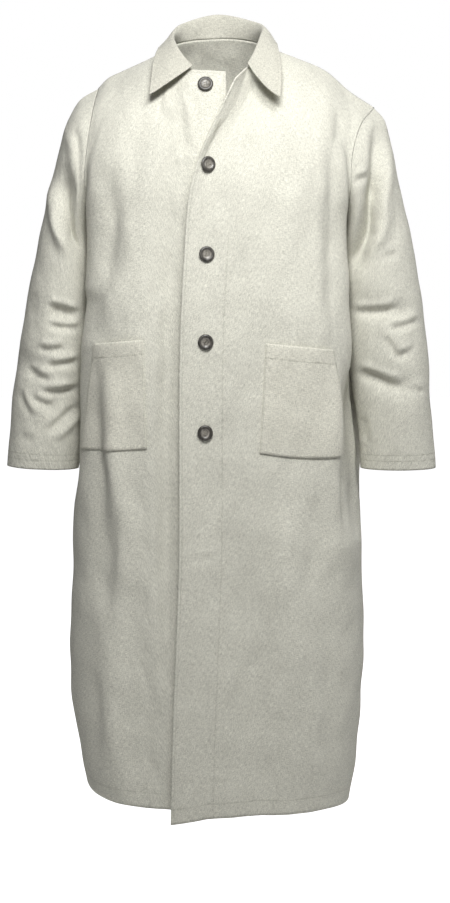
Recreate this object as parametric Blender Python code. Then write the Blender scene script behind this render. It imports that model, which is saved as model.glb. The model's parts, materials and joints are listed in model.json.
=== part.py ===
"""Duster coat: a long single-breasted coat of stiff linen-cotton cloth, hollow and open at the neck,
the hem and both cuffs, standing in the shape it takes when it is worn.

Metres, +Z up, the front faces -Y, +X is the wearer's left. The origin is the middle of the neck
opening at the height of the shoulder seams. Each cut piece is one closed wall of cloth.
"""

import math

import bmesh
import bpy
import numpy as np
from mathutils import Vector

# Sizes of the whole coat.
WALL = 0.0020               # thickness of each cloth wall
COLLAR_WALL = 0.0013        # the collar is thinner than it would be with its two layers pressed
SEAM_GAP = 0.0005           # what is left between two pieces at a seam
ARMPIT_TOP = -0.230         # below this height the armhole seam turns inward like a V
SHARED_SEAM = 0.85          # how nearly two pieces face the same way where they share a seam's slant
UNDERARM_HEIGHT = -0.285    # height of the level where the armholes start
HEM_HEIGHT = -1.253         # height of the lower edge at the centre front
HEM_BLEND = 0.30            # the hem's rises and dips fade out this far above it
ARM_HALF_DEPTH = 0.070      # half depth of the hollow that each arm presses into the side
QUARTER = math.pi / 2.0

# Rings of the body: half width and depths at each height, how square the ring is, and how far the
# hanging arms press its sides in.
BODY_RINGS = (
    # height, half_width, pressed_right, pressed_left, front, back, square
    (-0.285, 0.2320, 0.0295, 0.0295, 0.168, 0.146, 2.65),
    (-0.340, 0.2330, 0.0300, 0.0300, 0.174, 0.140, 2.68),
    (-0.420, 0.2365, 0.0325, 0.0325, 0.183, 0.134, 2.85),
    (-0.550, 0.2385, 0.0285, 0.0205, 0.189, 0.134, 2.90),
    (-0.605, 0.2395, 0.0240, 0.0110, 0.190, 0.138, 2.88),
    (-0.660, 0.2400, 0.0190, 0.0060, 0.190, 0.142, 2.85),
    (-0.705, 0.2400, 0.0130, 0.0045, 0.190, 0.146, 2.82),
    (-0.760, 0.2405, 0.0000, 0.0000, 0.190, 0.151, 2.80),
    (-0.860, 0.2440, 0.0000, 0.0000, 0.190, 0.157, 2.70),
    (-1.000, 0.2485, 0.0000, 0.0000, 0.190, 0.162, 2.70),
    (-1.110, 0.2460, 0.0000, 0.0000, 0.189, 0.163, 2.60),
    (-1.210, 0.2325, 0.0000, 0.0000, 0.187, 0.160, 2.60),
    (-1.270, 0.2210, 0.0000, 0.0000, 0.185, 0.157, 2.60),
)

# How far the hem lies above (+) or below (-) HEM_HEIGHT, by the share of the way from the centre to
# the side seam.
HEM_FRONT_RIGHT = ((-0.06, 0.007), (0.25, 0.007), (0.60, 0.012), (1.0, 0.031))
HEM_FRONT_LEFT = ((-0.25, -0.010), (0.25, 0.000), (0.60, -0.004), (1.0, -0.011))
HEM_BACK = ((-1.0, 0.031), (0.0, 0.010), (1.0, -0.011))

# Heights of the mesh rows below the underarm. The pockets' upper and lower edges are rows.
POCKET_TOP = -0.485
POCKET_BOTTOM = -0.658
ROW_HEIGHTS = (
    -0.285, -0.335, -0.385, -0.435, POCKET_TOP, -0.528, -0.572, -0.615, POCKET_BOTTOM, -0.705,
    -0.755, -0.810, -0.865, -0.920, -0.975, -1.030, -1.085, -1.140, -1.190, HEM_HEIGHT,
)
# How far up each row above the underarm lies, as a share of the way to the shoulder.
ROW_RISES = (0.0, 0.10, 0.20, 0.30, 0.40, 0.50, 0.60, 0.70, 0.80, 0.90, 1.0)

# Mesh columns of the right and left front, as shares of the way from the centre to the side seam.
RIGHT_COLUMNS = (
    -0.06, 0.02, 0.10, 0.18, 0.24, 0.29, 0.34, 0.387, 0.46, 0.54, 0.62, 0.707, 0.78, 0.86, 0.93, 1.0,
)
LEFT_COLUMNS = (
    -0.055, 0.010, 0.080, 0.165, 0.251, 0.325, 0.400, 0.475, 0.550, 0.626, 0.700, 0.775, 0.850,
    0.925, 1.0,
)
BACK_NECK_COLUMNS = (-0.245, -0.15, -0.05, 0.05, 0.15, 0.245)
STRIP_STEPS = 3             # mesh columns across the lapped strip of the left front

# The left side is pushed in beneath the arm, beside the front's own turn: how deep at each height.
SIDE_HOLLOW = (
    # height, depth, out_behind
    (-0.440, 0.000, 0.000),
    (-0.530, 0.005, 0.010),
    (-0.590, 0.026, 0.018),
    (-0.690, 0.028, 0.017),
    (-0.760, 0.020, 0.006),
    (-0.815, 0.000, 0.000),
)
HOLLOW_MIDDLE = -0.092      # y of the deepest line of that hollow
BEHIND_MIDDLE = 0.062       # y of the line that stands out most behind the arm
HOLLOW_HALF = 0.042

# Upper edges: front corner, collar notch, neck point and shoulder tip of each front.
RIGHT_NECKLINE = (
    # x, y, z
    (0.015, -0.104, -0.0470),
    (-0.013, -0.104, -0.0450),
    (-0.040, -0.099, -0.0430),
    (-0.051, -0.086, -0.0350),
    (-0.061, -0.067, -0.0250),
    (-0.069, -0.045, -0.0140),
    (-0.074, -0.022, -0.0050),
    (-0.076, 0.001, -0.0010),
)
LEFT_NECKLINE = (
    (0.049, -0.090, -0.0400),
    (0.057, -0.076, -0.0320),
    (0.065, -0.058, -0.0220),
    (0.072, -0.038, -0.0110),
    (0.077, -0.018, -0.0030),
    (0.078, 0.001, 0.0010),
)
BACK_NECKLINE = (
    (-0.076, 0.001, -0.0010),
    (-0.067, 0.029, 0.0060),
    (-0.042, 0.052, 0.0130),
    (-0.014, 0.062, 0.0160),
    (0.017, 0.062, 0.0170),
    (0.045, 0.052, 0.0140),
    (0.069, 0.029, 0.0070),
    (0.078, 0.001, 0.0010),
)
RIGHT_SHOULDER = (
    (-0.076, 0.001, -0.0010),
    (-0.110, 0.002, -0.0190),
    (-0.155, 0.003, -0.0395),
    (-0.181, 0.004, -0.0520),
    (-0.197, 0.005, -0.0680),
)
LEFT_SHOULDER = (
    (0.078, 0.001, 0.0010),
    (0.131, 0.002, -0.0185),
    (0.179, 0.003, -0.0390),
    (0.2215, 0.004, -0.0740),
    (0.262, 0.005, -0.1000),
)

# Armholes, from the underarm up over the front to the shoulder tip and down the back again.
RIGHT_ARMHOLE_FRONT = (
    (-0.2025, 0.000, UNDERARM_HEIGHT),
    (-0.2110, -0.060, -0.256),
    (-0.2155, -0.087, -0.218),
    (-0.2110, -0.086, -0.168),
    (-0.2035, -0.060, -0.112),
    (-0.1970, 0.005, -0.068),
)
RIGHT_ARMHOLE_BACK = (
    (-0.2025, 0.000, UNDERARM_HEIGHT),
    (-0.2090, 0.056, -0.258),
    (-0.2110, 0.080, -0.214),
    (-0.2075, 0.082, -0.166),
    (-0.2020, 0.060, -0.112),
    (-0.1970, 0.005, -0.068),
)
LEFT_ARMHOLE_FRONT = (
    (0.2025, 0.000, UNDERARM_HEIGHT),
    (0.2135, -0.058, -0.264),
    (0.2185, -0.086, -0.232),
    (0.2200, -0.086, -0.185),
    (0.2330, -0.060, -0.137),
    (0.2620, 0.005, -0.100),
)
LEFT_ARMHOLE_BACK = (
    (0.2025, 0.000, UNDERARM_HEIGHT),
    (0.2100, 0.056, -0.262),
    (0.2150, 0.080, -0.224),
    (0.2180, 0.083, -0.180),
    (0.2310, 0.060, -0.137),
    (0.2620, 0.005, -0.100),
)

# The lapped strip of the left front, from the line of its buttonholes (the valley) to its free
# edge. Near the neck the strip stands forward of the valley, since the top button is undone.
STRIP_UPPER = (
    # rise, valley_x, valley_y, valley_z, edge_x, edge_y, edge_z
    (0.00, -0.0165, -0.1680, -0.285, -0.0488, -0.1680, -0.285),
    (0.20, -0.0165, -0.1630, -0.235, -0.0430, -0.1660, -0.238),
    (0.40, -0.0170, -0.1540, -0.185, -0.0290, -0.1640, -0.188),
    (0.55, 0.0000, -0.1410, -0.147, -0.0165, -0.1600, -0.158),
    (0.70, 0.0225, -0.1260, -0.111, -0.0005, -0.1500, -0.122),
    (0.85, 0.0390, -0.1100, -0.075, 0.0155, -0.1420, -0.090),
    (1.00, 0.0490, -0.0900, -0.040, 0.0309, -0.1300, -0.060),
)
STRIP_LOWER = (
    # height, edge_x, proud
    (-0.285, -0.0488, 0.0015),
    (-0.430, -0.0568, 0.0030),
    (-0.860, -0.0620, 0.0030),
    (-1.140, -0.0730, 0.0030),
    (-1.263, -0.0757, 0.0030),
)
# The right front's own free edge, hidden behind the left one except beside the top button.
RIGHT_EDGE = (
    # rise, x, y, z
    (0.00, 0.0180, -0.1680, -0.285),
    (0.20, 0.0175, -0.1600, -0.235),
    (0.40, 0.0170, -0.1490, -0.185),
    (0.55, 0.0165, -0.1365, -0.147),
    (0.70, 0.0160, -0.1230, -0.111),
    (0.85, 0.0155, -0.1130, -0.075),
    (1.00, 0.0150, -0.1040, -0.047),
)

# The right front lies under the strip: how deep it sinks beside the strip's edge at each height.
UNDER_SINK = (
    # height, depth
    (-0.060, 0.004),
    (-0.200, 0.008),
    (-0.340, 0.014),
    (-0.700, 0.014),
    (-1.000, 0.009),
    (-1.253, 0.007),
)
UNDER_REST = 0.0040         # how far the right front lies behind the buttoned strip itself

# Large folds: a straight path from top to bottom seen from the front (or through from the back),
# how wide each side of it is, and how deep (-) or proud (+) it is.
FOLDS_FRONT = (
    # x_top, z_top, x_bottom, z_bottom, half_width, depth
    (-0.172, -0.500, -0.165, -0.760, 0.022, 0.006),
    (-0.198, -0.520, -0.190, -0.900, 0.020, -0.009),
    (-0.180, -0.180, -0.168, -0.400, 0.024, -0.008),
    (-0.210, -0.400, -0.196, -0.480, 0.020, -0.006),
    (-0.066, -0.110, -0.050, -0.180, 0.016, -0.006),
    (0.190, -0.120, 0.196, -0.470, 0.018, -0.007),
    (0.192, -0.560, 0.205, -0.900, 0.022, 0.007),
    (0.110, -0.760, 0.130, -1.240, 0.032, 0.008),
    (0.050, -0.820, 0.055, -1.245, 0.028, -0.007),
    (-0.130, -0.860, -0.120, -1.235, 0.026, -0.008),
    (-0.180, -0.900, -0.165, -1.230, 0.026, 0.008),
)
FOLDS_BACK = (
    (-0.165, -0.220, -0.150, -0.640, 0.026, -0.010),
    (-0.080, -0.520, -0.100, -1.235, 0.034, 0.012),
    (-0.020, -0.420, -0.030, -1.240, 0.030, -0.010),
    (0.060, -0.560, 0.075, -1.240, 0.034, 0.012),
    (0.165, -0.240, 0.150, -0.680, 0.026, -0.010),
    (0.150, -0.760, 0.160, -1.240, 0.030, -0.010),
    (-0.165, -0.800, -0.175, -1.230, 0.030, -0.010),
    (0.000, -0.110, 0.010, -0.420, 0.040, 0.006),
)

# Sleeves: the outer and the inner point of each ring, its half depth and the y of its middle.
RIGHT_SLEEVE_RINGS = (
    # outer_x, outer_z, inner_x, inner_z, half_depth, middle_y
    (-0.1970, -0.068, -0.2025, -0.285, 0.090, 0.004),
    (-0.2275, -0.0865, -0.2045, -0.300, 0.091, 0.004),
    (-0.2475, -0.118, -0.2060, -0.314, 0.089, 0.003),
    (-0.2610, -0.163, -0.2068, -0.334, 0.086, 0.002),
    (-0.2730, -0.212, -0.2075, -0.358, 0.083, 0.000),
    (-0.2860, -0.268, -0.2080, -0.388, 0.080, -0.002),
    (-0.2990, -0.325, -0.2085, -0.420, 0.078, -0.004),
    (-0.3110, -0.380, -0.2095, -0.455, 0.076, -0.006),
    (-0.3195, -0.430, -0.2110, -0.490, 0.074, -0.008),
    (-0.3270, -0.480, -0.2140, -0.530, 0.071, -0.011),
    (-0.3355, -0.535, -0.2180, -0.570, 0.067, -0.014),
    (-0.3440, -0.590, -0.2240, -0.613, 0.062, -0.017),
    (-0.3495, -0.645, -0.2265, -0.657, 0.056, -0.020),
    (-0.3540, -0.694, -0.2325, -0.699, 0.050, -0.022),
)
LEFT_SLEEVE_RINGS = (
    (0.2620, -0.100, 0.2025, -0.285, 0.090, 0.004),
    (0.2770, -0.1165, 0.2045, -0.300, 0.090, 0.004),
    (0.2850, -0.146, 0.2060, -0.316, 0.088, 0.003),
    (0.2945, -0.185, 0.2068, -0.338, 0.085, 0.002),
    (0.3032, -0.225, 0.2075, -0.362, 0.082, 0.000),
    (0.3150, -0.275, 0.2085, -0.392, 0.079, -0.002),
    (0.3268, -0.328, 0.2095, -0.424, 0.077, -0.004),
    (0.3375, -0.382, 0.2110, -0.458, 0.075, -0.006),
    (0.3455, -0.432, 0.2130, -0.492, 0.073, -0.008),
    (0.3510, -0.482, 0.2200, -0.532, 0.070, -0.011),
    (0.3560, -0.537, 0.2270, -0.572, 0.066, -0.014),
    (0.3595, -0.590, 0.2345, -0.614, 0.061, -0.017),
    (0.3640, -0.646, 0.2390, -0.657, 0.055, -0.020),
    (0.3665, -0.698, 0.2410, -0.6985, 0.049, -0.022),
)
SLEEVE_BLEND_RINGS = 4      # the armhole's own outline fades into plain rings over this many
FOLDS_SLEEVE_RIGHT = (
    # x_a, z_a, x_b, z_b, half_width, depth
    (-0.238, -0.150, -0.222, -0.250, 0.016, -0.007),
    (-0.246, -0.195, -0.215, -0.330, 0.018, -0.008),
    (-0.275, -0.430, -0.235, -0.450, 0.017, -0.008),
    (-0.340, -0.510, -0.290, -0.530, 0.018, -0.006),
    (-0.225, -0.560, -0.285, -0.600, 0.017, -0.007),
)
FOLDS_SLEEVE_LEFT = (
    (0.272, -0.120, 0.262, -0.260, 0.016, -0.008),
    (0.262, -0.260, 0.228, -0.370, 0.018, -0.008),
    (0.232, -0.430, 0.320, -0.435, 0.018, -0.007),
    (0.240, -0.535, 0.320, -0.565, 0.018, -0.008),
)

# Collar: the crest of its fold and its outer edge at stations round the neck, from the right
# front's notch round the back to the left front's notch.
COLLAR_STATIONS = (
    # round, crest_x, crest_y, crest_z, edge_x, edge_y, edge_z
    (0.00, -0.0390, -0.1010, -0.0370, -0.1080, -0.1260, -0.0840),
    (0.08, -0.0500, -0.0880, -0.0255, -0.1070, -0.1080, -0.0640),
    (0.17, -0.0620, -0.0640, -0.0090, -0.1040, -0.0760, -0.0330),
    (0.26, -0.0700, -0.0320, 0.0080, -0.0980, -0.0360, -0.0080),
    (0.34, -0.0720, 0.0000, 0.0220, -0.0930, 0.0050, 0.0010),
    (0.42, -0.0590, 0.0400, 0.0400, -0.0760, 0.0620, 0.0030),
    (0.50, 0.0010, 0.0700, 0.0580, 0.0010, 0.1010, 0.0040),
    (0.58, 0.0620, 0.0420, 0.0440, 0.0790, 0.0620, 0.0060),
    (0.66, 0.0770, 0.0030, 0.0320, 0.0970, 0.0080, 0.0060),
    (0.74, 0.0720, -0.0300, 0.0150, 0.1000, -0.0340, -0.0040),
    (0.83, 0.0650, -0.0580, -0.0040, 0.1040, -0.0700, -0.0290),
    (0.92, 0.0560, -0.0790, -0.0230, 0.1040, -0.1040, -0.0560),
    (1.00, 0.0500, -0.0920, -0.0325, 0.1020, -0.1290, -0.0890),
)
# How far the leaves' cut ends droop below a straight line, and how far that stands them forward.
COLLAR_DROOP = (
    # round, drop, forward
    (0.00, 0.003, 0.001),
    (0.08, 0.000, 0.000),
    (0.88, 0.000, 0.000),
    (1.00, 0.008, 0.008),
)
COLLAR_RISE_STEPS = 3       # mesh rows from the neck seam to the crest
COLLAR_FALL_STEPS = 4       # mesh rows from the crest to the outer edge
COLLAR_LIFT = 0.0006        # how far the collar stands above the neck edge
CREST_ROUND = 0.016         # how widely the cloth turns over at the crest

POCKET_GAP = 0.0003         # what is left between a pocket and the panel behind it
POCKET_WALL = 0.0016

BUTTON_RADIUS = 0.0125
BUTTON_THICKNESS = 0.0040
BUTTON_SIDES = 24
BUTTON_HOLE_RADIUS = 0.0011
BUTTON_HOLE_SPREAD = 0.0026
BUTTON_HOLE_SIDES = 8
BUTTON_GAP = 0.0004
SEAT_RADIUS = 0.0108        # the flat of a button's back, which rests on the cloth
SEAT_STEPS = 12             # samples each way across a mesh face when a button is seated on it
BUTTON_PROFILE = (
    # radius, height, as a section from the middle of the face to the middle of the back
    (0.0000, 0.0026),
    (0.0062, 0.0026),
    (0.0078, 0.0038),
    (0.0100, 0.0040),
    (0.0118, 0.0033),
    (0.0125, 0.0018),
    (0.0112, 0.0004),
    (0.0080, 0.0000),
    (0.0000, 0.0000),
)
# Buttons from the neck down: x of the middle and its height.
BUTTONS = (
    (-0.0180, -0.0680),
    (-0.0150, -0.1960),
    (-0.0160, -0.3380),
    (-0.0175, -0.4770),
    (-0.0185, -0.6220),
)

CLOTH_COLOUR = (0.62, 0.60, 0.52, 1.0)
POCKET_COLOUR = (0.60, 0.58, 0.50, 1.0)
COLLAR_COLOUR = (0.64, 0.62, 0.54, 1.0)
BUTTON_COLOUR = (0.060, 0.050, 0.042, 1.0)


def clear_scene():
    for thing in list(bpy.data.objects):
        bpy.data.objects.remove(thing, do_unlink=True)


def make_material(name, colour, roughness):
    material = bpy.data.materials.new(name)
    material.use_nodes = True
    shader = material.node_tree.nodes["Principled BSDF"]
    shader.inputs["Base Color"].default_value = colour
    shader.inputs["Roughness"].default_value = roughness
    shader.inputs["Metallic"].default_value = 0.0
    return material


def smooth_step(low, high, value):
    share = np.clip((np.asarray(value, float) - low) / (high - low), 0.0, 1.0)
    return share * share * (3.0 - 2.0 * share)


def through(keys, values, at):
    """A smooth curve through the values at rising keys, read at each place in `at`."""
    keys = np.asarray(keys, float)
    values = np.asarray(values, float)
    at = np.clip(np.asarray(at, float), keys[0], keys[-1])
    slopes = np.gradient(values, keys, axis=0)
    index = np.clip(np.searchsorted(keys, at, side="right") - 1, 0, len(keys) - 2)
    span = keys[index + 1] - keys[index]
    t = (at - keys[index]) / span
    if values.ndim > 1:
        t = t[..., None]
        span = span[..., None]
    start = values[index] * (2 * t**3 - 3 * t**2 + 1) + slopes[index] * span * (t**3 - 2 * t**2 + t)
    end = values[index + 1] * (3 * t**2 - 2 * t**3) + slopes[index + 1] * span * (t**3 - t**2)
    return start + end


def along(points, count):
    """`count` places evenly spaced along the smooth curve through the points."""
    points = np.asarray(points, float)
    keys = np.concatenate([[0.0], np.cumsum(np.linalg.norm(np.diff(points, axis=0), axis=1))])
    return through(keys, points, np.linspace(0.0, keys[-1], count))


def ring_sizes(height):
    """(half width, pressed, front, back, square) of the body ring at each height."""
    table = np.asarray(BODY_RINGS)[::-1]
    return np.moveaxis(through(table[:, 0], table[:, 1:], height), -1, 0)


def body_point(share, height, is_back):
    """A place on the body. `share` runs from 0 at the centre to 1 at the wearer's left side seam
    and to -1 at the right one."""
    half_width, pressed_right, pressed_left, front, back, square = ring_sizes(height)
    depth = back if is_back else front
    turn = np.asarray(share) * QUARTER
    across = np.abs(np.sin(turn)) / half_width
    ahead = np.abs(np.cos(turn)) / depth
    reach = (across**square + ahead**square) ** (-1.0 / square)
    x = reach * np.sin(turn)
    y = reach * np.cos(turn) * (1.0 if is_back else -1.0)
    pressed = np.where(x < 0.0, pressed_right, pressed_left)
    x = x - np.sign(x) * pressed * np.exp(-((y / ARM_HALF_DEPTH) ** 2))
    return np.stack([x, y, np.broadcast_to(height, x.shape)], axis=-1)


def share_at(x, height):
    """The share at which the front of the body has this x."""
    half_width, _, _, front, _, square = ring_sizes(np.asarray(height, float))
    y = front * (1.0 - (np.abs(x) / half_width) ** square) ** (1.0 / square)
    return np.arctan2(x, y) / QUARTER


def outward(grid):
    """Unit normals of a grid of points, from its neighbours."""
    normal = np.cross(np.gradient(grid, axis=1), np.gradient(grid, axis=0))
    return normal / np.linalg.norm(normal, axis=-1, keepdims=True)


def fold_height(points, folds):
    """How far the folds move each point out, from its x and z."""
    moved = np.zeros(points.shape[:-1])
    for x_a, z_a, x_b, z_b, half_width, depth in folds:
        run = np.array([x_b - x_a, z_b - z_a])
        rest = points[..., [0, 2]] - np.array([x_a, z_a])
        length = np.linalg.norm(run)
        place = (rest @ run) / length**2
        aside = np.abs(rest[..., 0] * run[1] - rest[..., 1] * run[0]) / length
        ends = smooth_step(-0.12, 0.25, place) * smooth_step(1.12, 0.75, place)
        moved = moved + depth * ends * np.exp(-((aside / half_width) ** 2))
    return moved


def hem_rise(share, heights, hem):
    table = np.asarray(hem)
    rise = np.interp(share, table[:, 0], table[:, 1])
    return rise * smooth_step(HEM_HEIGHT + HEM_BLEND, HEM_HEIGHT, heights)


def pocket_shift(shares, heights, corners, columns):
    """(share, height) shifts that lay rows and columns along a pocket's slanting edges. `columns`
    are the shares of its inner and outer edge, `corners` the shift at each of its corners."""
    keys = [columns[0] - 0.20, columns[0], columns[1], 1.0]
    shift = []
    for top, bottom in zip(corners["top"], corners["bottom"]):
        at_top = np.interp(shares, keys, [0.0, top[0], top[1], 0.0])
        at_bottom = np.interp(shares, keys, [0.0, bottom[0], bottom[1], 0.0])
        down = np.interp(heights, [-0.755, POCKET_BOTTOM, POCKET_TOP, -0.385], [0.0, 1.0, 0.0, 0.0])
        up = np.interp(heights, [-0.755, POCKET_BOTTOM, POCKET_TOP, -0.385], [0.0, 0.0, 1.0, 0.0])
        shift.append(at_top * up + at_bottom * down)
    return shift


# Shift of (share, height) at a pocket's inner and outer corners.
RIGHT_POCKET_SHIFT = {
    "top": ((-0.017, -0.094), (0.011, 0.002)),
    "bottom": ((-0.036, 0.023), (0.009, 0.001)),
}
LEFT_POCKET_SHIFT = {
    "top": ((0.006, -0.044), (0.006, -0.007)),
    "bottom": ((-0.028, 0.044), (0.003, -0.006)),
}


def lower_grid(side, shares, heights, hem, shift=None, columns=None, is_back=False):
    """Points of a panel below the underarm, a row for each height and a column for each share."""
    share, height = np.meshgrid(np.asarray(shares, float), np.asarray(heights, float))
    rise = hem_rise(share, height, hem)
    if shift:
        share_shift, height_shift = pocket_shift(share, height, shift, columns)
        share = share + share_shift
        height = height + height_shift
    points = body_point(side * share, height, is_back)
    points[..., 2] += rise
    return points


def upper_grid(chest, top, armhole, centre=None, is_back=False):
    """Points of a panel above the underarm: each column rises from the chest ring and turns over
    the shoulder. The armhole (and the centre line, where given) is then drawn to its own curve."""
    rises = np.asarray(ROW_RISES)[:, None, None]
    back = -1.0 if is_back else 1.0
    lean = np.linspace(0.0, 1.0, len(top))[:, None]
    span = np.linalg.norm(top - chest, axis=1)[:, None]
    start = span * np.array([0.0, 0.10 * back, 1.0])
    neck_end = np.array([0.0, 0.55 * back, 0.80])
    tip_end = np.array([0.0, 0.95 * back, 0.30])
    end = span * (neck_end + (tip_end - neck_end) * smooth_step(0.05, 0.55, lean))
    t = rises
    grid = (
        chest * (2 * t**3 - 3 * t**2 + 1)
        + start * (t**3 - 2 * t**2 + t)
        + top * (3 * t**2 - 2 * t**3)
        + end * (t**3 - t**2)
    )
    share = np.linspace(0.0, 1.0, len(top))[None, :, None]
    grid = grid + (armhole - grid[:, -1])[:, None, :] * share**3
    if centre is not None:
        grid = grid + (centre - grid[:, 0])[:, None, :] * (1.0 - share) ** 4
    return grid


def sink_right_front(grid, shares):
    """Sets the right front back where the left one laps over it."""
    table = np.asarray(UNDER_SINK)[::-1]
    deep = np.interp(grid[..., 2], table[:, 0], table[:, 1])
    shares = np.asarray(shares)[None, :]
    towards = smooth_step(0.09, 0.22, shares)
    depth = UNDER_REST + (np.maximum(deep, UNDER_REST) - UNDER_REST) * towards
    depth = depth * smooth_step(0.40, 0.25, shares)
    grid[..., 1] += depth
    return grid


def right_front_grid():
    heights = ROW_HEIGHTS
    lower = lower_grid(
        -1.0, RIGHT_COLUMNS, heights, HEM_FRONT_RIGHT, RIGHT_POCKET_SHIFT, (0.387, 0.707)
    )
    shoulder = along(RIGHT_SHOULDER, len(RIGHT_COLUMNS) - len(RIGHT_NECKLINE) + 1)
    top = np.concatenate([np.asarray(RIGHT_NECKLINE), shoulder[1:]])
    armhole = along(RIGHT_ARMHOLE_FRONT, len(ROW_RISES))
    edge = np.asarray(RIGHT_EDGE)
    free = through(edge[:, 0], edge[:, 1:], ROW_RISES)
    upper = upper_grid(lower[0], top, armhole, centre=free)
    grid = np.concatenate([upper[:0:-1], lower])
    grid = sink_right_front(grid, RIGHT_COLUMNS)
    folded = grid + outward_of_side(grid, -1.0) * fold_height(grid, FOLDS_FRONT)[..., None]
    return seams_kept(folded, top, armhole, len(RIGHT_NECKLINE) - 1)


def left_front_grid():
    heights = ROW_HEIGHTS
    main = lower_grid(
        1.0, LEFT_COLUMNS, heights, HEM_FRONT_LEFT, LEFT_POCKET_SHIFT, (0.251, 0.626)
    )
    shoulder = along(LEFT_SHOULDER, len(LEFT_COLUMNS) - len(LEFT_NECKLINE) + 1)
    top = np.concatenate([np.asarray(LEFT_NECKLINE), shoulder[1:]])
    armhole = along(LEFT_ARMHOLE_FRONT, len(ROW_RISES))
    strip = np.asarray(STRIP_UPPER)
    valley = through(strip[:, 0], strip[:, 1:4], ROW_RISES)
    free = through(strip[:, 0], strip[:, 4:7], ROW_RISES)
    main_upper = upper_grid(main[0], top, armhole, centre=valley)
    main = hollow_side(np.concatenate([main_upper[:0:-1], main]))
    free_lower = strip_edge(main[len(ROW_RISES) - 1:, 0, 2])
    free = np.concatenate([free[:0:-1], free_lower])
    share = np.linspace(0.0, 1.0, STRIP_STEPS + 1)[None, :-1, None]
    strip_grid = free[:, None, :] + (main[:, :1] - free[:, None, :]) * share
    belly = np.sin(share[..., 0] * math.pi) * 0.002
    strip_grid[..., 1] -= belly
    grid = np.concatenate([strip_grid, main], axis=1)
    folded = grid + outward_of_side(grid, 1.0) * fold_height(grid, FOLDS_FRONT)[..., None]
    return seams_kept(folded, top, armhole, len(LEFT_NECKLINE) - 1)


def hollow_side(grid):
    """Pushes the left side in beneath the arm and lets it stand out behind the arm."""
    table = np.asarray(SIDE_HOLLOW)[::-1]
    on_left = smooth_step(0.12, 0.17, grid[..., 0])
    deep = through(table[:, 0], table[:, 1], grid[..., 2]) * on_left
    out = through(table[:, 0], table[:, 2], grid[..., 2]) * on_left
    grid[..., 0] -= deep * np.exp(-(((grid[..., 1] - HOLLOW_MIDDLE) / HOLLOW_HALF) ** 2))
    grid[..., 0] += out * np.exp(-(((grid[..., 1] - BEHIND_MIDDLE) / HOLLOW_HALF) ** 2))
    return grid


def seams_kept(folded, top, armhole, neck):
    """Puts the shoulder seam and the armhole of a folded front back on their own curves."""
    shoulder = top[neck:]
    folded[0, folded.shape[1] - len(shoulder):] = shoulder
    folded[:len(armhole), -1] = armhole[::-1]
    return folded


def strip_edge(heights):
    """The free edge of the left front below the underarm, at each height of the button line."""
    table = np.asarray(STRIP_LOWER)[::-1]
    x = through(table[:, 0], table[:, 1], heights)
    proud = np.interp(heights, table[:, 0], table[:, 2])
    points = body_point(share_at(x, heights), heights, False)
    points[:, 1] -= proud
    points[:, 2] += hem_rise(np.full(len(heights), -0.25), heights, HEM_FRONT_LEFT)
    return points


def outward_of_side(grid, side):
    """Outward normals of a front panel whose columns run towards this side."""
    return -outward(grid) * side


def back_grid():
    right = -np.asarray(RIGHT_COLUMNS[7:])[::-1]
    left = np.asarray(LEFT_COLUMNS[5:])
    shares = np.concatenate([right, BACK_NECK_COLUMNS, left])
    lower = lower_grid(1.0, shares, ROW_HEIGHTS, HEM_BACK, is_back=True)
    right_shoulder = along(RIGHT_SHOULDER, len(right))
    left_shoulder = along(LEFT_SHOULDER, len(left))
    neck = np.asarray(BACK_NECKLINE)[1:-1]
    top = np.concatenate([right_shoulder[::-1], neck, left_shoulder])
    middle = len(right) + len(neck) // 2
    right_arm = along(RIGHT_ARMHOLE_BACK, len(ROW_RISES))
    left_arm = along(LEFT_ARMHOLE_BACK, len(ROW_RISES))
    right_upper = upper_grid(lower[0, :middle][::-1], top[:middle][::-1], right_arm, is_back=True)
    left_upper = upper_grid(lower[0, middle:], top[middle:], left_arm, is_back=True)
    upper = np.concatenate([right_upper[:, ::-1], left_upper], axis=1)
    grid = hollow_side(np.concatenate([upper[:0:-1], lower]))
    folded = grid + outward(grid) * fold_height(grid, FOLDS_BACK)[..., None]
    folded[0] = grid[0]
    return folded


def sleeve_grid(rings, armhole_front, armhole_back, folds, side):
    """Rings of a sleeve, from the armhole to the cuff. Each starts at the underarm and runs over
    the front, the shoulder side and the back."""
    front = along(armhole_front, len(ROW_RISES))
    back = along(armhole_back, len(ROW_RISES))
    armhole = np.concatenate([front, back[-2::-1]])
    turn = np.linspace(0.0, 2.0 * math.pi, len(armhole))
    table = np.asarray(rings)
    grid = []
    for outer_x, outer_z, inner_x, inner_z, half_depth, middle_y in table:
        out = (1.0 - np.cos(turn)) / 2.0
        x = inner_x + (outer_x - inner_x) * out
        z = inner_z + (outer_z - inner_z) * out
        y = middle_y - half_depth * np.sin(turn)
        grid.append(np.stack([x, y, z], axis=-1))
    grid = np.asarray(grid)
    fade = 1.0 - smooth_step(0.0, SLEEVE_BLEND_RINGS, np.arange(len(grid)))
    grid = grid + (armhole - grid[0])[None] * fade[:, None, None]
    facing = np.clip(np.sin(turn), 0.0, 1.0) ** 0.5
    height = fold_height(grid, folds) * facing * (1.0 - fade)[:, None]
    return grid - outward(grid) * side * height[..., None]


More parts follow.
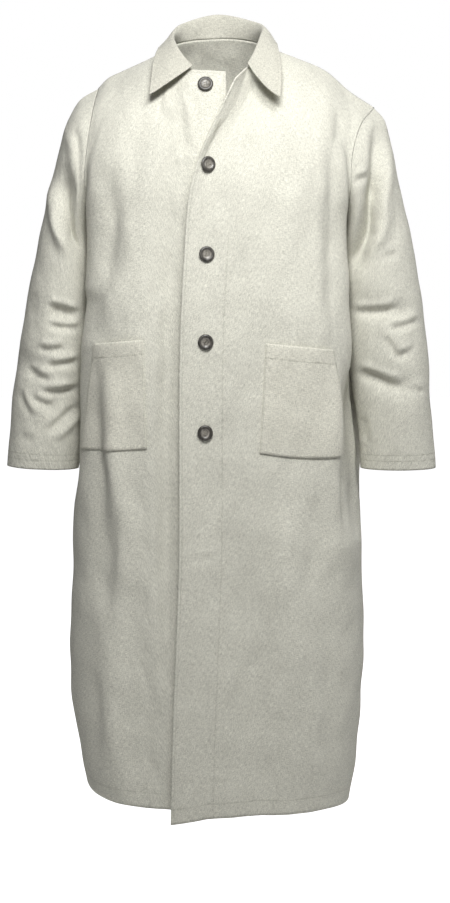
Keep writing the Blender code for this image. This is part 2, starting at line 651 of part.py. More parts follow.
def collar_grid(neck):
    """Rows of the collar from the neck seam over its crest to its outer edge."""
    table = np.asarray(COLLAR_STATIONS)
    lengths = np.linalg.norm(np.diff(neck, axis=0), axis=1)
    round_neck = np.concatenate([[0.0], np.cumsum(lengths)]) / lengths.sum()
    crest = through(table[:, 0], table[:, 1:4], round_neck)
    edge = through(table[:, 0], table[:, 4:7], round_neck)
    seam = neck + np.array([0.0, 0.0, COLLAR_LIFT])
    away = edge - crest
    away[:, 2] = 0.0
    away = away / np.linalg.norm(away, axis=1)[:, None] * CREST_ROUND
    rows = []
    for step in np.linspace(0.0, 1.0, COLLAR_RISE_STEPS + 1):
        rise = np.linalg.norm(crest - seam, axis=1)[:, None]
        turn_over = away * np.clip(rise / 0.03, 0.15, 1.0)
        rows.append(hermite(seam, crest - seam, crest, turn_over, step))
    droop = np.asarray(COLLAR_DROOP)
    down = -np.interp(round_neck, droop[:, 0], droop[:, 1])
    ahead = -np.interp(round_neck, droop[:, 0], droop[:, 2])
    sag = np.stack([np.zeros(len(neck)), ahead, down], axis=-1)
    for step in np.linspace(0.0, 1.0, COLLAR_FALL_STEPS + 1)[1:]:
        row = hermite(crest, away, edge, (edge - crest) * 0.9, step)
        rows.append(row + sag * math.sin(step * math.pi))
    return np.asarray(rows)


def hermite(start, start_way, end, end_way, t):
    return (
        start * (2 * t**3 - 3 * t**2 + 1)
        + start_way * (t**3 - 2 * t**2 + t)
        + end * (3 * t**2 - 2 * t**3)
        + end_way * (t**3 - t**2)
    )


def shared_normals(grids):
    """Unit normals at every point of several grids. Points that meet share one normal, unless the
    pieces turn sharply there, as at the underarm."""
    total = {}
    own_normals = {}
    for name, (grid, flip) in grids.items():
        sums = np.zeros_like(grid)
        across = grid[1:, 1:] - grid[:-1, :-1]
        other = grid[1:, :-1] - grid[:-1, 1:]
        normal = np.cross(other, across) * (-1.0 if flip else 1.0)
        for rows, columns in ((0, 0), (0, 1), (1, 0), (1, 1)):
            sums[rows:grid.shape[0] - 1 + rows, columns:grid.shape[1] - 1 + columns] += normal
        if name.startswith("sleeve"):
            sums[:, 0] += sums[:, -1]
            sums[:, -1] = sums[:, 0]
        own_normals[name] = sums
        for place, part in zip(grid.reshape(-1, 3), sums.reshape(-1, 3)):
            key = tuple(np.round(place, 5))
            total[key] = total.get(key, 0.0) + part
    normals = {}
    for name, (grid, _) in grids.items():
        joined = np.array([total[tuple(np.round(place, 5))] for place in grid.reshape(-1, 3)])
        joined = joined / np.linalg.norm(joined, axis=1)[:, None]
        own = own_normals[name].reshape(-1, 3)
        own = own / np.linalg.norm(own, axis=1)[:, None]
        apart = (joined * own).sum(axis=1) < SHARED_SEAM
        apart &= grid.reshape(-1, 3)[:, 2] < ARMPIT_TOP
        joined[apart] = own[apart]
        normals[name] = joined.reshape(grid.shape)
    return normals


def back_from_seams(grid, sides):
    """Draws the named edges of a grid half a seam gap back towards its own inside."""
    moved = grid.copy()
    for edge in sides:
        first, second = {
            "top": ((0,), (1,)),
            "bottom": ((-1,), (-2,)),
            "start": ((slice(None), 0), (slice(None), 1)),
            "end": ((slice(None), -1), (slice(None), -2)),
        }[edge.split(":")[0]]
        way = grid[second] - grid[first]
        run = np.gradient(grid[first], axis=0)
        run = run / np.linalg.norm(run, axis=-1, keepdims=True)
        way = way - run * (way * run).sum(axis=-1, keepdims=True)
        way = way / np.linalg.norm(way, axis=-1, keepdims=True) * SEAM_GAP / 2.0
        if ":" in edge:
            low, high = (int(word) for word in edge.split(":")[1].split(","))
            keep = np.zeros(len(way), bool)
            keep[low:high] = True
            way = way * keep[:, None]
        moved[first] = moved[first] + way
    return moved


def cloth_wall(name, outer, inner, material, closed=False):
    """One closed wall of cloth between an outer and an inner grid of the same shape."""
    rows, columns = outer.shape[:2]
    mesh = bmesh.new()
    bmesh.ops.create_grid(mesh, x_segments=columns - 1, y_segments=rows - 1, size=1.0)
    mesh.verts.ensure_lookup_table()
    order = mesh.verts.layers.int.new("order")
    for number, vertex in enumerate(mesh.verts):
        vertex[order] = number
    turned = bmesh.ops.extrude_face_region(mesh, geom=mesh.faces[:], use_keep_orig=True)
    raised = {item for item in turned["geom"] if isinstance(item, bmesh.types.BMVert)}
    for vertex in mesh.verts:
        row, column = divmod(vertex[order], columns)
        source = outer if vertex in raised else inner
        vertex.co = Vector(source[row, column])
    if closed:
        bmesh.ops.remove_doubles(mesh, verts=mesh.verts[:], dist=1e-6)
        inside = [face for face in mesh.faces if all(len(e.link_faces) > 2 for e in face.edges)]
        ends = [face for face in mesh.faces if any(len(e.link_faces) > 2 for e in face.edges)]
        seam = [face for face in ends if face not in inside and seam_face(face, raised)]
        bmesh.ops.delete(mesh, geom=list(set(inside + seam)), context="FACES_ONLY")
    bmesh.ops.triangulate(mesh, faces=mesh.faces[:], quad_method="FIXED")
    bmesh.ops.recalc_face_normals(mesh, faces=mesh.faces[:])
    if mesh.calc_volume(signed=True) < 0.0:
        bmesh.ops.reverse_faces(mesh, faces=mesh.faces[:])
    return mesh_object(name, mesh, material)


def seam_face(face, raised):
    """True for a face inside the wall, where the two ends of a wrapped grid meet."""
    over = sum(1 for vertex in face.verts if vertex in raised)
    return over == 2 and sum(1 for edge in face.edges if len(edge.link_faces) > 2) >= 2


def mesh_object(name, mesh, material):
    data = bpy.data.meshes.new(name)
    mesh.to_mesh(data)
    mesh.free()
    data.materials.append(material)
    thing = bpy.data.objects.new(name, data)
    bpy.context.scene.collection.objects.link(thing)
    return thing


def make_body_and_sleeves(cloth):
    right = right_front_grid()
    left = left_front_grid()
    back = back_grid()
    sleeve_right = sleeve_grid(
        RIGHT_SLEEVE_RINGS, RIGHT_ARMHOLE_FRONT, RIGHT_ARMHOLE_BACK, FOLDS_SLEEVE_RIGHT, -1.0
    )
    sleeve_left = sleeve_grid(
        LEFT_SLEEVE_RINGS, LEFT_ARMHOLE_FRONT, LEFT_ARMHOLE_BACK, FOLDS_SLEEVE_LEFT, 1.0
    )
    join_seams(right, left, back, sleeve_right, sleeve_left)
    grids = {
        "front_right": (right, True),
        "front_left": (left, False),
        "back": (back, True),
        "sleeve_right": (sleeve_right, True),
        "sleeve_left": (sleeve_left, False),
    }
    normals = shared_normals(grids)
    neck_right = len(RIGHT_NECKLINE) - 1
    neck_left = STRIP_STEPS + len(LEFT_NECKLINE) - 1
    back_right = len(RIGHT_COLUMNS) - len(RIGHT_NECKLINE)
    back_left = back_right + len(BACK_NECKLINE) - 1
    seams = {
        "front_right": (f"top:{neck_right},99", "end"),
        "front_left": (f"top:{neck_left},99", "end"),
        "back": (f"top:0,{back_right + 1}", f"top:{back_left},99", "start", "end"),
        "sleeve_right": ("top",),
        "sleeve_left": ("top",),
    }
    for name, (grid, _) in grids.items():
        outer = back_from_seams(grid, seams[name])
        inner = back_from_seams(grid - normals[name] * WALL, seams[name])
        cloth_wall(name, outer, inner, cloth, closed=name.startswith("sleeve"))
    return right, left, back, normals


def join_seams(right, left, back, sleeve_right, sleeve_left):
    """Gives the pieces the same points along the seams they share."""
    rows = len(ROW_RISES)
    back[:, 0] = right[:, -1]
    back[rows - 1:, -1] = left[rows - 1:, -1]
    back[:, -1] = left[:, -1]
    back_arms(back, right, left, rows)
    ring_right = np.concatenate([right[rows - 1::-1, -1], back[1:rows, 0]])
    ring_left = np.concatenate([left[rows - 1::-1, -1], back[1:rows, -1]])
    sleeve_right[0] = ring_right
    sleeve_left[0] = ring_left
    for sleeve in (sleeve_right, sleeve_left):
        sleeve[:, -1] = sleeve[:, 0]


def back_arms(back, right, left, rows):
    """Restores the back's own armhole edges above the underarm."""
    back[:rows, 0] = along(RIGHT_ARMHOLE_BACK, rows)[::-1]
    back[:rows, -1] = along(LEFT_ARMHOLE_BACK, rows)[::-1]


def make_collar(right, left, back, cloth):
    first = len(RIGHT_COLUMNS) - len(RIGHT_NECKLINE)
    neck = np.concatenate([
        right[0, 2:len(RIGHT_NECKLINE)],
        back[0, first + 1:first + len(BACK_NECKLINE) - 1],
        left[0, STRIP_STEPS:STRIP_STEPS + len(LEFT_NECKLINE)][::-1],
    ])
    grid = collar_grid(neck)
    normals = outward(grid)
    cloth_wall("collar", grid, grid - normals * COLLAR_WALL, cloth)


def make_pocket(name, panel, normals, rows, columns, material):
    """A patch of the panel's own points, moved out by the gap and the wall."""
    patch = panel[rows[0]:rows[1] + 1, columns[0]:columns[1] + 1]
    way = normals[rows[0]:rows[1] + 1, columns[0]:columns[1] + 1]
    inner = patch + way * POCKET_GAP
    cloth_wall(name, inner + way * POCKET_WALL, inner, material)


def button_seat(panel, x, z):
    """(point, normal) of the plane that rests on a front panel under a button."""
    steps = np.linspace(0.0, 1.0, SEAT_STEPS)
    down, across = (part[..., None, None, None] for part in np.meshgrid(steps, steps))
    patch = (
        panel[:-1, :-1] * (1 - down) * (1 - across)
        + panel[1:, :-1] * down * (1 - across)
        + panel[:-1, 1:] * (1 - down) * across
        + panel[1:, 1:] * down * across
    ).reshape(-1, 3)
    near = patch[np.linalg.norm(patch[:, [0, 2]] - np.array([x, z]), axis=1) < SEAT_RADIUS]
    table = np.stack([near[:, 0] - x, near[:, 2] - z, np.ones(len(near))], axis=1)
    slope_x, slope_z, middle = np.linalg.lstsq(table, near[:, 1], rcond=None)[0]
    normal = np.array([slope_x, -1.0, slope_z])
    normal = normal / np.linalg.norm(normal)
    point = np.array([x, middle, z])
    return point + normal * max(0.0, float(((near - point) @ normal).max())), normal


def make_button(name, panel, x, z, material):
    place, normal = button_seat(panel, x, z)
    mesh = bmesh.new()
    profile = [mesh.verts.new((radius, 0.0, height)) for radius, height in BUTTON_PROFILE]
    edges = [mesh.edges.new(pair) for pair in zip(profile, profile[1:])]
    bmesh.ops.spin(
        mesh, geom=profile + edges, cent=(0, 0, 0), axis=(0, 0, 1), angle=2.0 * math.pi,
        steps=BUTTON_SIDES, use_merge=True,
    )
    bmesh.ops.remove_doubles(mesh, verts=mesh.verts[:], dist=1e-6)
    bmesh.ops.recalc_face_normals(mesh, faces=mesh.faces[:])
    button = mesh_object(name, mesh, material)
    turn = Vector((0.0, 0.0, 1.0)).rotation_difference(Vector(normal)).to_matrix().to_4x4()
    turn.translation = Vector(place + normal * BUTTON_GAP)
    cut_button_holes(button)
    button.data.transform(turn)
    return button


def cut_button_holes(button):
    """Cuts the four sewing holes straight through the button."""
    cutters = bmesh.new()
    for turn in range(4):
        angle = math.pi / 4.0 + turn * QUARTER
        drilled = bmesh.ops.create_cone(
            cutters, cap_ends=True, segments=BUTTON_HOLE_SIDES, radius1=BUTTON_HOLE_RADIUS,
            radius2=BUTTON_HOLE_RADIUS, depth=BUTTON_THICKNESS * 4.0,
        )
        shift = Vector((math.cos(angle), math.sin(angle), 0.0)) * BUTTON_HOLE_SPREAD
        bmesh.ops.translate(cutters, verts=drilled["verts"], vec=shift)
    cutter = mesh_object("button_holes", cutters, button.data.materials[0])
    cut = button.modifiers.new("holes", "BOOLEAN")
    cut.operation = "DIFFERENCE"
    cut.solver = "EXACT"
    cut.object = cutter
    graph = bpy.context.evaluated_depsgraph_get()
    drilled = bpy.data.meshes.new_from_object(button.evaluated_get(graph))
    button.modifiers.clear()
    button.data = drilled
    bpy.data.objects.remove(cutter, do_unlink=True)


def main():
    clear_scene()
    cloth = make_material("coat_cloth", CLOTH_COLOUR, 0.9)
    pocket_cloth = make_material("pocket_cloth", POCKET_COLOUR, 0.9)
    collar_cloth = make_material("collar_cloth", COLLAR_COLOUR, 0.9)
    horn = make_material("button_horn", BUTTON_COLOUR, 0.35)
    right, left, back, normals = make_body_and_sleeves(cloth)
    make_collar(right, left, back, collar_cloth)
    above = len(ROW_RISES) - 1
    rows = (above + ROW_HEIGHTS.index(POCKET_TOP), above + ROW_HEIGHTS.index(POCKET_BOTTOM))
    make_pocket("pocket_right", right, normals["front_right"], rows, (7, 11), pocket_cloth)
    make_pocket(
        "pocket_left", left, normals["front_left"], rows, (STRIP_STEPS + 4, STRIP_STEPS + 9),
        pocket_cloth,
    )
    for number, (x, z) in enumerate(BUTTONS, start=1):
        panel = right if number == 1 else left
        make_button(f"button_{number}", panel, x, z, horn)


main()
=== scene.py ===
# %% [markdown]
# A long duster coat of natural linen-cotton cloth, standing open and hollow in the shape that it
# takes when it is worn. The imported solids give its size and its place. In this lesson each solid
# of cloth gets a thin, finely creased sheet in its place, with the weave, the stitching and the
# horn buttons that the real coat shows.
#
# Everything is in metres. +Z is up, the front faces -Y and +X is the wearer's left.

import json
import math

import bmesh
import bpy
import numpy as np
from mathutils import Matrix, Vector

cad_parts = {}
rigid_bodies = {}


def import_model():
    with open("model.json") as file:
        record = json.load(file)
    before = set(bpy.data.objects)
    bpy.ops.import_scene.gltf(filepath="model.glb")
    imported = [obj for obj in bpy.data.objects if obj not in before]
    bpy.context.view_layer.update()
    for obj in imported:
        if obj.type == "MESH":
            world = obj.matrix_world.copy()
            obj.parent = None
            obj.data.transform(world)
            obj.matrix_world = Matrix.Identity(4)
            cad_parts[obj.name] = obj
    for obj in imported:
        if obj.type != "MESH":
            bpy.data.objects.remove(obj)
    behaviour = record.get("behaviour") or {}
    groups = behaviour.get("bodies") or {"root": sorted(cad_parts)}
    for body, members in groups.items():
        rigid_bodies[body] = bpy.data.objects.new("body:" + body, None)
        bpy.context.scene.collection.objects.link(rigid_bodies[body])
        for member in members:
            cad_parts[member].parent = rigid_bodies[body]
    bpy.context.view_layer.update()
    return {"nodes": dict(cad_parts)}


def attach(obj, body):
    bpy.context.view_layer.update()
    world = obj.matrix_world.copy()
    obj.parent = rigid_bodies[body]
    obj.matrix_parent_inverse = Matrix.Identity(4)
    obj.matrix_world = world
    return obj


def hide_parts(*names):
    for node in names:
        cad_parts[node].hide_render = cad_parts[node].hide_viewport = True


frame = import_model()
print("nodes:", sorted(frame["nodes"]))

# %% [markdown]
# ## Curves and tables
# A garment has few straight lines, so its form is read from short tables of named sizes, with a
# smooth curve drawn through them. Two helpers do that for every table here: one reads a table at
# any place between its rows, the other walks along a line of points by its length. Reading
# between the rows is what lets the same form be drawn as finely as a close view needs.

# %% Smooth steps, curves through a table, and places along a line
QUARTER = math.pi / 2.0


def smooth_step(low, high, value):
    share = np.clip((np.asarray(value, float) - low) / (high - low), 0.0, 1.0)
    return share * share * (3.0 - 2.0 * share)


def hermite(start, start_way, end, end_way, t):
    """From a start to an end, leaving one way and arriving another."""
    return (
        start * (2 * t**3 - 3 * t**2 + 1)
        + start_way * (t**3 - 2 * t**2 + t)
        + end * (3 * t**2 - 2 * t**3)
        + end_way * (t**3 - t**2)
    )


def through(keys, values, at):
    """A smooth curve through the values at rising keys, read at each place in `at`."""
    keys = np.asarray(keys, float)
    values = np.asarray(values, float)
    at = np.clip(np.asarray(at, float), keys[0], keys[-1])
    slopes = np.gradient(values, keys, axis=0)
    index = np.clip(np.searchsorted(keys, at, side="right") - 1, 0, len(keys) - 2)
    span = keys[index + 1] - keys[index]
    t = (at - keys[index]) / span
    if values.ndim > 1:
        t = t[..., None]
        span = span[..., None]
    leaving = slopes[index] * span
    arriving = slopes[index + 1] * span
    return hermite(values[index], leaving, values[index + 1], arriving, t)


def rows_of(table, at):
    """The rows of a table read at fractional row numbers."""
    return through(np.arange(len(table)), table, at)


def curve_at(points, shares):
    """Places on the smooth curve through the points, by their share of its length."""
    points = np.asarray(points, float)
    keys = np.concatenate([[0.0], np.cumsum(np.linalg.norm(np.diff(points, axis=0), axis=1))])
    return through(keys, points, np.asarray(shares) * keys[-1])


def outward(grid):
    """Unit normals of a grid of points, from its neighbours."""
    normal = np.cross(np.gradient(grid, axis=1), np.gradient(grid, axis=0))
    size = np.linalg.norm(normal, axis=-1, keepdims=True)
    return normal / np.maximum(size, 1e-12)


print("half way up a smooth step:", float(smooth_step(0.0, 1.0, 0.5)))

# %% [markdown]
# ## The body of the coat
# Below the arms the coat is a tube: wide and flat like a rounded box, pressed in a little at the
# sides where the arms hang, and swinging out towards the hem. A short table of rings says how
# wide and how deep it is. Each of the three body pieces, right front, left front and back, is a
# part of that tube, measured by its share of the way from the centre to the side seam.

# %% Rings of the body and places on them
UNDERARM_HEIGHT = -0.285
HEM_HEIGHT = -1.253
HEM_BLEND = 0.30
ARM_HALF_DEPTH = 0.070
BODY_RINGS = (
    # height, half_width, pressed_right, pressed_left, front, back, square
    (-0.285, 0.2320, 0.0295, 0.0295, 0.168, 0.146, 2.65),
    (-0.340, 0.2330, 0.0300, 0.0300, 0.174, 0.140, 2.68),
    (-0.420, 0.2365, 0.0325, 0.0325, 0.183, 0.134, 2.85),
    (-0.550, 0.2385, 0.0285, 0.0205, 0.189, 0.134, 2.90),
    (-0.605, 0.2395, 0.0240, 0.0110, 0.190, 0.138, 2.88),
    (-0.660, 0.2400, 0.0190, 0.0060, 0.190, 0.142, 2.85),
    (-0.705, 0.2400, 0.0130, 0.0045, 0.190, 0.146, 2.82),
    (-0.760, 0.2405, 0.0000, 0.0000, 0.190, 0.151, 2.80),
    (-0.860, 0.2440, 0.0000, 0.0000, 0.190, 0.157, 2.70),
    (-1.000, 0.2485, 0.0000, 0.0000, 0.190, 0.162, 2.70),
    (-1.110, 0.2460, 0.0000, 0.0000, 0.189, 0.163, 2.60),
    (-1.210, 0.2325, 0.0000, 0.0000, 0.187, 0.160, 2.60),
    (-1.270, 0.2210, 0.0000, 0.0000, 0.185, 0.157, 2.60),
)
# How far the hem lies above (+) or below (-) its height at the centre, by share.
HEM_FRONT_RIGHT = ((-0.06, 0.007), (0.25, 0.007), (0.60, 0.012), (1.0, 0.031))
HEM_FRONT_LEFT = ((-0.25, -0.010), (0.25, 0.000), (0.60, -0.004), (1.0, -0.011))
HEM_BACK = ((-1.0, 0.031), (0.0, 0.010), (1.0, -0.011))


def ring_sizes(height):
    """The columns after the height in BODY_RINGS, read at each height."""
    table = np.asarray(BODY_RINGS)[::-1]
    return np.moveaxis(through(table[:, 0], table[:, 1:], height), -1, 0)


def body_point(share, height, is_back):
    """A place on the body: share 0 is the centre, 1 the wearer's left side seam, -1 the right."""
    half_width, pressed_right, pressed_left, front, back, square = ring_sizes(height)
    depth = back if is_back else front
    turn = np.asarray(share) * QUARTER
    across = np.abs(np.sin(turn)) / half_width
    ahead = np.abs(np.cos(turn)) / depth
    reach = (across**square + ahead**square) ** (-1.0 / square)
    x = reach * np.sin(turn)
    y = reach * np.cos(turn) * (1.0 if is_back else -1.0)
    pressed = np.where(x < 0.0, pressed_right, pressed_left)
    x = x - np.sign(x) * pressed * np.exp(-((y / ARM_HALF_DEPTH) ** 2))
    return np.stack([x, y, np.broadcast_to(height, x.shape)], axis=-1)


def share_at(x, height):
    """The share at which the front of the body has this x."""
    half_width, _, _, front, _, square = ring_sizes(np.asarray(height, float))
    y = front * (1.0 - (np.abs(x) / half_width) ** square) ** (1.0 / square)
    return np.arctan2(x, y) / QUARTER


def hem_rise(share, heights, hem):
    table = np.asarray(hem)
    rise = np.interp(share, table[:, 0], table[:, 1])
    return rise * smooth_step(HEM_HEIGHT + HEM_BLEND, HEM_HEIGHT, heights)


print("width at the underarm:", round(2 * float(ring_sizes(UNDERARM_HEIGHT)[0]), 3))

# %% [markdown]
# ## Rows and columns of the pattern
# Every panel is a net of rows and columns, like the warp and weft of its cloth. The rows run
# level round the body and the columns run from the shoulder to the hem. Two rows lie along the
# pockets' edges, so a pocket is simply a part of the same net, moved outward.

# %% Heights of the rows, shares of the columns and the pockets' corners
POCKET_TOP = -0.485
POCKET_BOTTOM = -0.658
ROW_HEIGHTS = (
    -0.285, -0.335, -0.385, -0.435, POCKET_TOP, -0.528, -0.572, -0.615, POCKET_BOTTOM, -0.705,
    -0.755, -0.810, -0.865, -0.920, -0.975, -1.030, -1.085, -1.140, -1.190, HEM_HEIGHT,
)
RISE_ROWS = 10
LAST_ROW = RISE_ROWS + len(ROW_HEIGHTS) - 1
POCKET_ROWS = (RISE_ROWS + 4, RISE_ROWS + 8)
RIGHT_COLUMNS = (
    -0.06, 0.02, 0.10, 0.18, 0.24, 0.29, 0.34, 0.387, 0.46, 0.54, 0.62, 0.707, 0.78, 0.86,
    0.93, 1.0,
)
LEFT_COLUMNS = (
    -0.055, 0.010, 0.080, 0.165, 0.251, 0.325, 0.400, 0.475, 0.550, 0.626, 0.700, 0.775, 0.850,
    0.925, 1.0,
)
BACK_NECK_COLUMNS = (-0.245, -0.15, -0.05, 0.05, 0.15, 0.245)
RIGHT_POCKET_COLUMNS = (7, 11)
LEFT_POCKET_COLUMNS = (4, 9)
STRIP_COLUMNS = 3
RIGHT_POCKET_SHIFT = {
    "top": ((-0.017, -0.094), (0.011, 0.002)),
    "bottom": ((-0.036, 0.023), (0.009, 0.001)),
}
LEFT_POCKET_SHIFT = {
    "top": ((0.006, -0.044), (0.006, -0.007)),
    "bottom": ((-0.028, 0.044), (0.003, -0.006)),
}
POCKET_EASE = 0.20
POCKET_LEVELS = (-0.755, POCKET_BOTTOM, POCKET_TOP, -0.385)


def pocket_shift(shares, heights, corners, columns):
    """(share, height) shifts that lay rows and columns along a pocket's slanting edges."""
    keys = [columns[0] - POCKET_EASE, columns[0], columns[1], 1.0]
    down = np.interp(heights, POCKET_LEVELS, [0.0, 1.0, 0.0, 0.0])
    up = np.interp(heights, POCKET_LEVELS, [0.0, 0.0, 1.0, 0.0])
    shift = []
    for top, bottom in zip(corners["top"], corners["bottom"]):
        at_top = np.interp(shares, keys, [0.0, top[0], top[1], 0.0])
        at_bottom = np.interp(shares, keys, [0.0, bottom[0], bottom[1], 0.0])
        shift.append(at_top * up + at_bottom * down)
    return shift


def lower_grid(side, shares, heights, hem, shift=None, columns=None, is_back=False):
    """Points of a panel below the underarm, a row for each height and a column for each share."""
    share, height = np.meshgrid(np.asarray(shares, float), np.asarray(heights, float))
    rise = hem_rise(share, height, hem)
    if shift:
        share_shift, height_shift = pocket_shift(share, height, shift, columns)
        share = share + share_shift
        height = height + height_shift
    points = body_point(side * share, height, is_back)
    points[..., 2] += rise
    return points


print("rows of a panel:", LAST_ROW + 1)

# %% [markdown]
# ## Neckline, shoulders and armholes
# Above the underarm each column rises from the chest and turns over the shoulder. The edges
# there are the seams of the pattern: the neckline that the collar is sewn to, the shoulder seam
# and the armhole. The left shoulder is broader and lower than the right one, because the coat
# hangs a little to the wearer's left.

# %% Seam lines of the upper body
RIGHT_NECKLINE = (
    # x, y, z
    (0.015, -0.104, -0.0470),
    (-0.013, -0.104, -0.0450),
    (-0.040, -0.099, -0.0430),
    (-0.051, -0.086, -0.0350),
    (-0.061, -0.067, -0.0250),
    (-0.069, -0.045, -0.0140),
    (-0.074, -0.022, -0.0050),
    (-0.076, 0.001, -0.0010),
)
LEFT_NECKLINE = (
    (0.049, -0.090, -0.0400),
    (0.057, -0.076, -0.0320),
    (0.065, -0.058, -0.0220),
    (0.072, -0.038, -0.0110),
    (0.077, -0.018, -0.0030),
    (0.078, 0.001, 0.0010),
)
BACK_NECKLINE = (
    (-0.076, 0.001, -0.0010),
    (-0.067, 0.029, 0.0060),
    (-0.042, 0.052, 0.0130),
    (-0.014, 0.062, 0.0160),
    (0.017, 0.062, 0.0170),
    (0.045, 0.052, 0.0140),
    (0.069, 0.029, 0.0070),
    (0.078, 0.001, 0.0010),
)
RIGHT_SHOULDER = (
    (-0.076, 0.001, -0.0010),
    (-0.110, 0.002, -0.0190),
    (-0.155, 0.003, -0.0395),
    (-0.181, 0.004, -0.0520),
    (-0.197, 0.005, -0.0680),
)
LEFT_SHOULDER = (
    (0.078, 0.001, 0.0010),
    (0.131, 0.002, -0.0185),
    (0.179, 0.003, -0.0390),
    (0.2215, 0.004, -0.0740),
    (0.262, 0.005, -0.1000),
)
RIGHT_ARMHOLE_FRONT = (
    # from the underarm up to the shoulder tip
    (-0.2025, 0.000, UNDERARM_HEIGHT),
    (-0.2110, -0.060, -0.256),
    (-0.2155, -0.087, -0.218),
    (-0.2110, -0.086, -0.168),
    (-0.2035, -0.060, -0.112),
    (-0.1970, 0.005, -0.068),
)
RIGHT_ARMHOLE_BACK = (
    (-0.2025, 0.000, UNDERARM_HEIGHT),
    (-0.2090, 0.056, -0.258),
    (-0.2110, 0.080, -0.214),
    (-0.2075, 0.082, -0.166),
    (-0.2020, 0.060, -0.112),
    (-0.1970, 0.005, -0.068),
)
LEFT_ARMHOLE_FRONT = (
    (0.2025, 0.000, UNDERARM_HEIGHT),
    (0.2135, -0.058, -0.264),
    (0.2185, -0.086, -0.232),
    (0.2200, -0.086, -0.185),
    (0.2330, -0.060, -0.137),
    (0.2620, 0.005, -0.100),
)
LEFT_ARMHOLE_BACK = (
    (0.2025, 0.000, UNDERARM_HEIGHT),
    (0.2100, 0.056, -0.262),
    (0.2150, 0.080, -0.224),
    (0.2180, 0.083, -0.180),
    (0.2310, 0.060, -0.137),
    (0.2620, 0.005, -0.100),
)
# Which way a column leaves the chest, and arrives at the neck or at the shoulder tip.
CHEST_WAY = (0.0, 0.10, 1.0)
NECK_WAY = (0.0, 0.55, 0.80)
TIP_WAY = (0.0, 0.95, 0.30)
TIP_LEAN = (0.05, 0.55)


def rising(chest, top, rises, lean, back):
    """Columns that rise from the chest ring and turn over the shoulder. `lean` runs from 0 at
    the centre to 1 at the armhole."""
    lean = lean[:, None]
    span = np.linalg.norm(top - chest, axis=1)[:, None]
    turned = np.array([1.0, back, 1.0])
    neck_end = turned * NECK_WAY
    tip_end = turned * TIP_WAY
    end = span * (neck_end + (tip_end - neck_end) * smooth_step(*TIP_LEAN, lean))
    return hermite(chest, span * turned * CHEST_WAY, top, end, rises[:, None, None])


def drawn_to(grid, target, column, weight):
    """Moves a grid so that one column lies on the target, the others following by weight."""
    return grid + (target - grid[:, column])[:, None, :] * weight[None, :, None]


def front_top(neckline, shoulder, columns, last):
    """The upper edge of a front: its neckline, then its shoulder seam."""
    neck = len(neckline) - 1
    on_neck = rows_of(neckline, np.minimum(columns, neck))
    on_shoulder = curve_at(shoulder, np.clip((columns - neck) / (last - neck), 0.0, 1.0))
    return np.where((columns <= neck)[:, None], on_neck, on_shoulder)


print("right shoulder seam:", round(float(np.linalg.norm(np.subtract(
    RIGHT_SHOULDER[-1], RIGHT_SHOULDER[0]))), 3))

# %% [markdown]
# ## Creases
# Stiff linen doesn't drape in even waves. It breaks into soft troughs of uneven length, most of
# them with a ridge of pushed-up cloth beside them, and it keeps them. Each crease is given as a
# short path, with its half width, its depth (troughs are negative) and how strong the ridge beside
# it is. The sign of the ridge says on which side it stands: on a path that runs down, plus is
# towards +X, and on a path that runs towards +X, plus is above.
#
# A gentle rumple goes over everything, from a few slow waves that cross each other. Without it
# the planes between the creases look like sheet metal.

# %% Large folds, listed creases and the rumple
FOLDS_FRONT = (
    # x_top, z_top, x_bottom, z_bottom, half_width, depth
    (-0.172, -0.500, -0.165, -0.760, 0.022, 0.006),
    (-0.198, -0.520, -0.190, -0.900, 0.020, -0.009),
    (-0.180, -0.180, -0.168, -0.400, 0.024, -0.008),
    (-0.210, -0.400, -0.196, -0.480, 0.020, -0.006),
    (-0.066, -0.110, -0.050, -0.180, 0.016, -0.006),
    (0.190, -0.120, 0.196, -0.470, 0.018, -0.007),
    (0.192, -0.560, 0.205, -0.900, 0.022, 0.007),
    (0.110, -0.760, 0.130, -1.240, 0.032, 0.008),
    (0.050, -0.820, 0.055, -1.245, 0.028, -0.007),
    (-0.130, -0.860, -0.120, -1.235, 0.026, -0.008),
    (-0.180, -0.900, -0.165, -1.230, 0.026, 0.008),
)
FOLDS_BACK = (
    (-0.165, -0.220, -0.150, -0.640, 0.026, -0.010),
    (-0.080, -0.520, -0.100, -1.235, 0.034, 0.012),
    (-0.020, -0.420, -0.030, -1.240, 0.030, -0.010),
    (0.060, -0.560, 0.075, -1.240, 0.034, 0.012),
    (0.165, -0.240, 0.150, -0.680, 0.026, -0.010),
    (0.150, -0.760, 0.160, -1.240, 0.030, -0.010),
    (-0.165, -0.800, -0.175, -1.230, 0.030, -0.010),
    (0.000, -0.110, 0.010, -0.420, 0.040, 0.006),
)
FOLDS_SLEEVE_RIGHT = (
    (-0.238, -0.150, -0.222, -0.250, 0.016, -0.007),
    (-0.246, -0.195, -0.215, -0.330, 0.018, -0.008),
    (-0.275, -0.430, -0.235, -0.450, 0.017, -0.008),
    (-0.340, -0.510, -0.290, -0.530, 0.018, -0.006),
    (-0.225, -0.560, -0.285, -0.600, 0.017, -0.007),
)
FOLDS_SLEEVE_LEFT = (
    (0.272, -0.120, 0.262, -0.260, 0.016, -0.008),
    (0.262, -0.260, 0.228, -0.370, 0.018, -0.008),
    (0.232, -0.430, 0.320, -0.435, 0.018, -0.007),
    (0.240, -0.535, 0.320, -0.565, 0.018, -0.008),
)
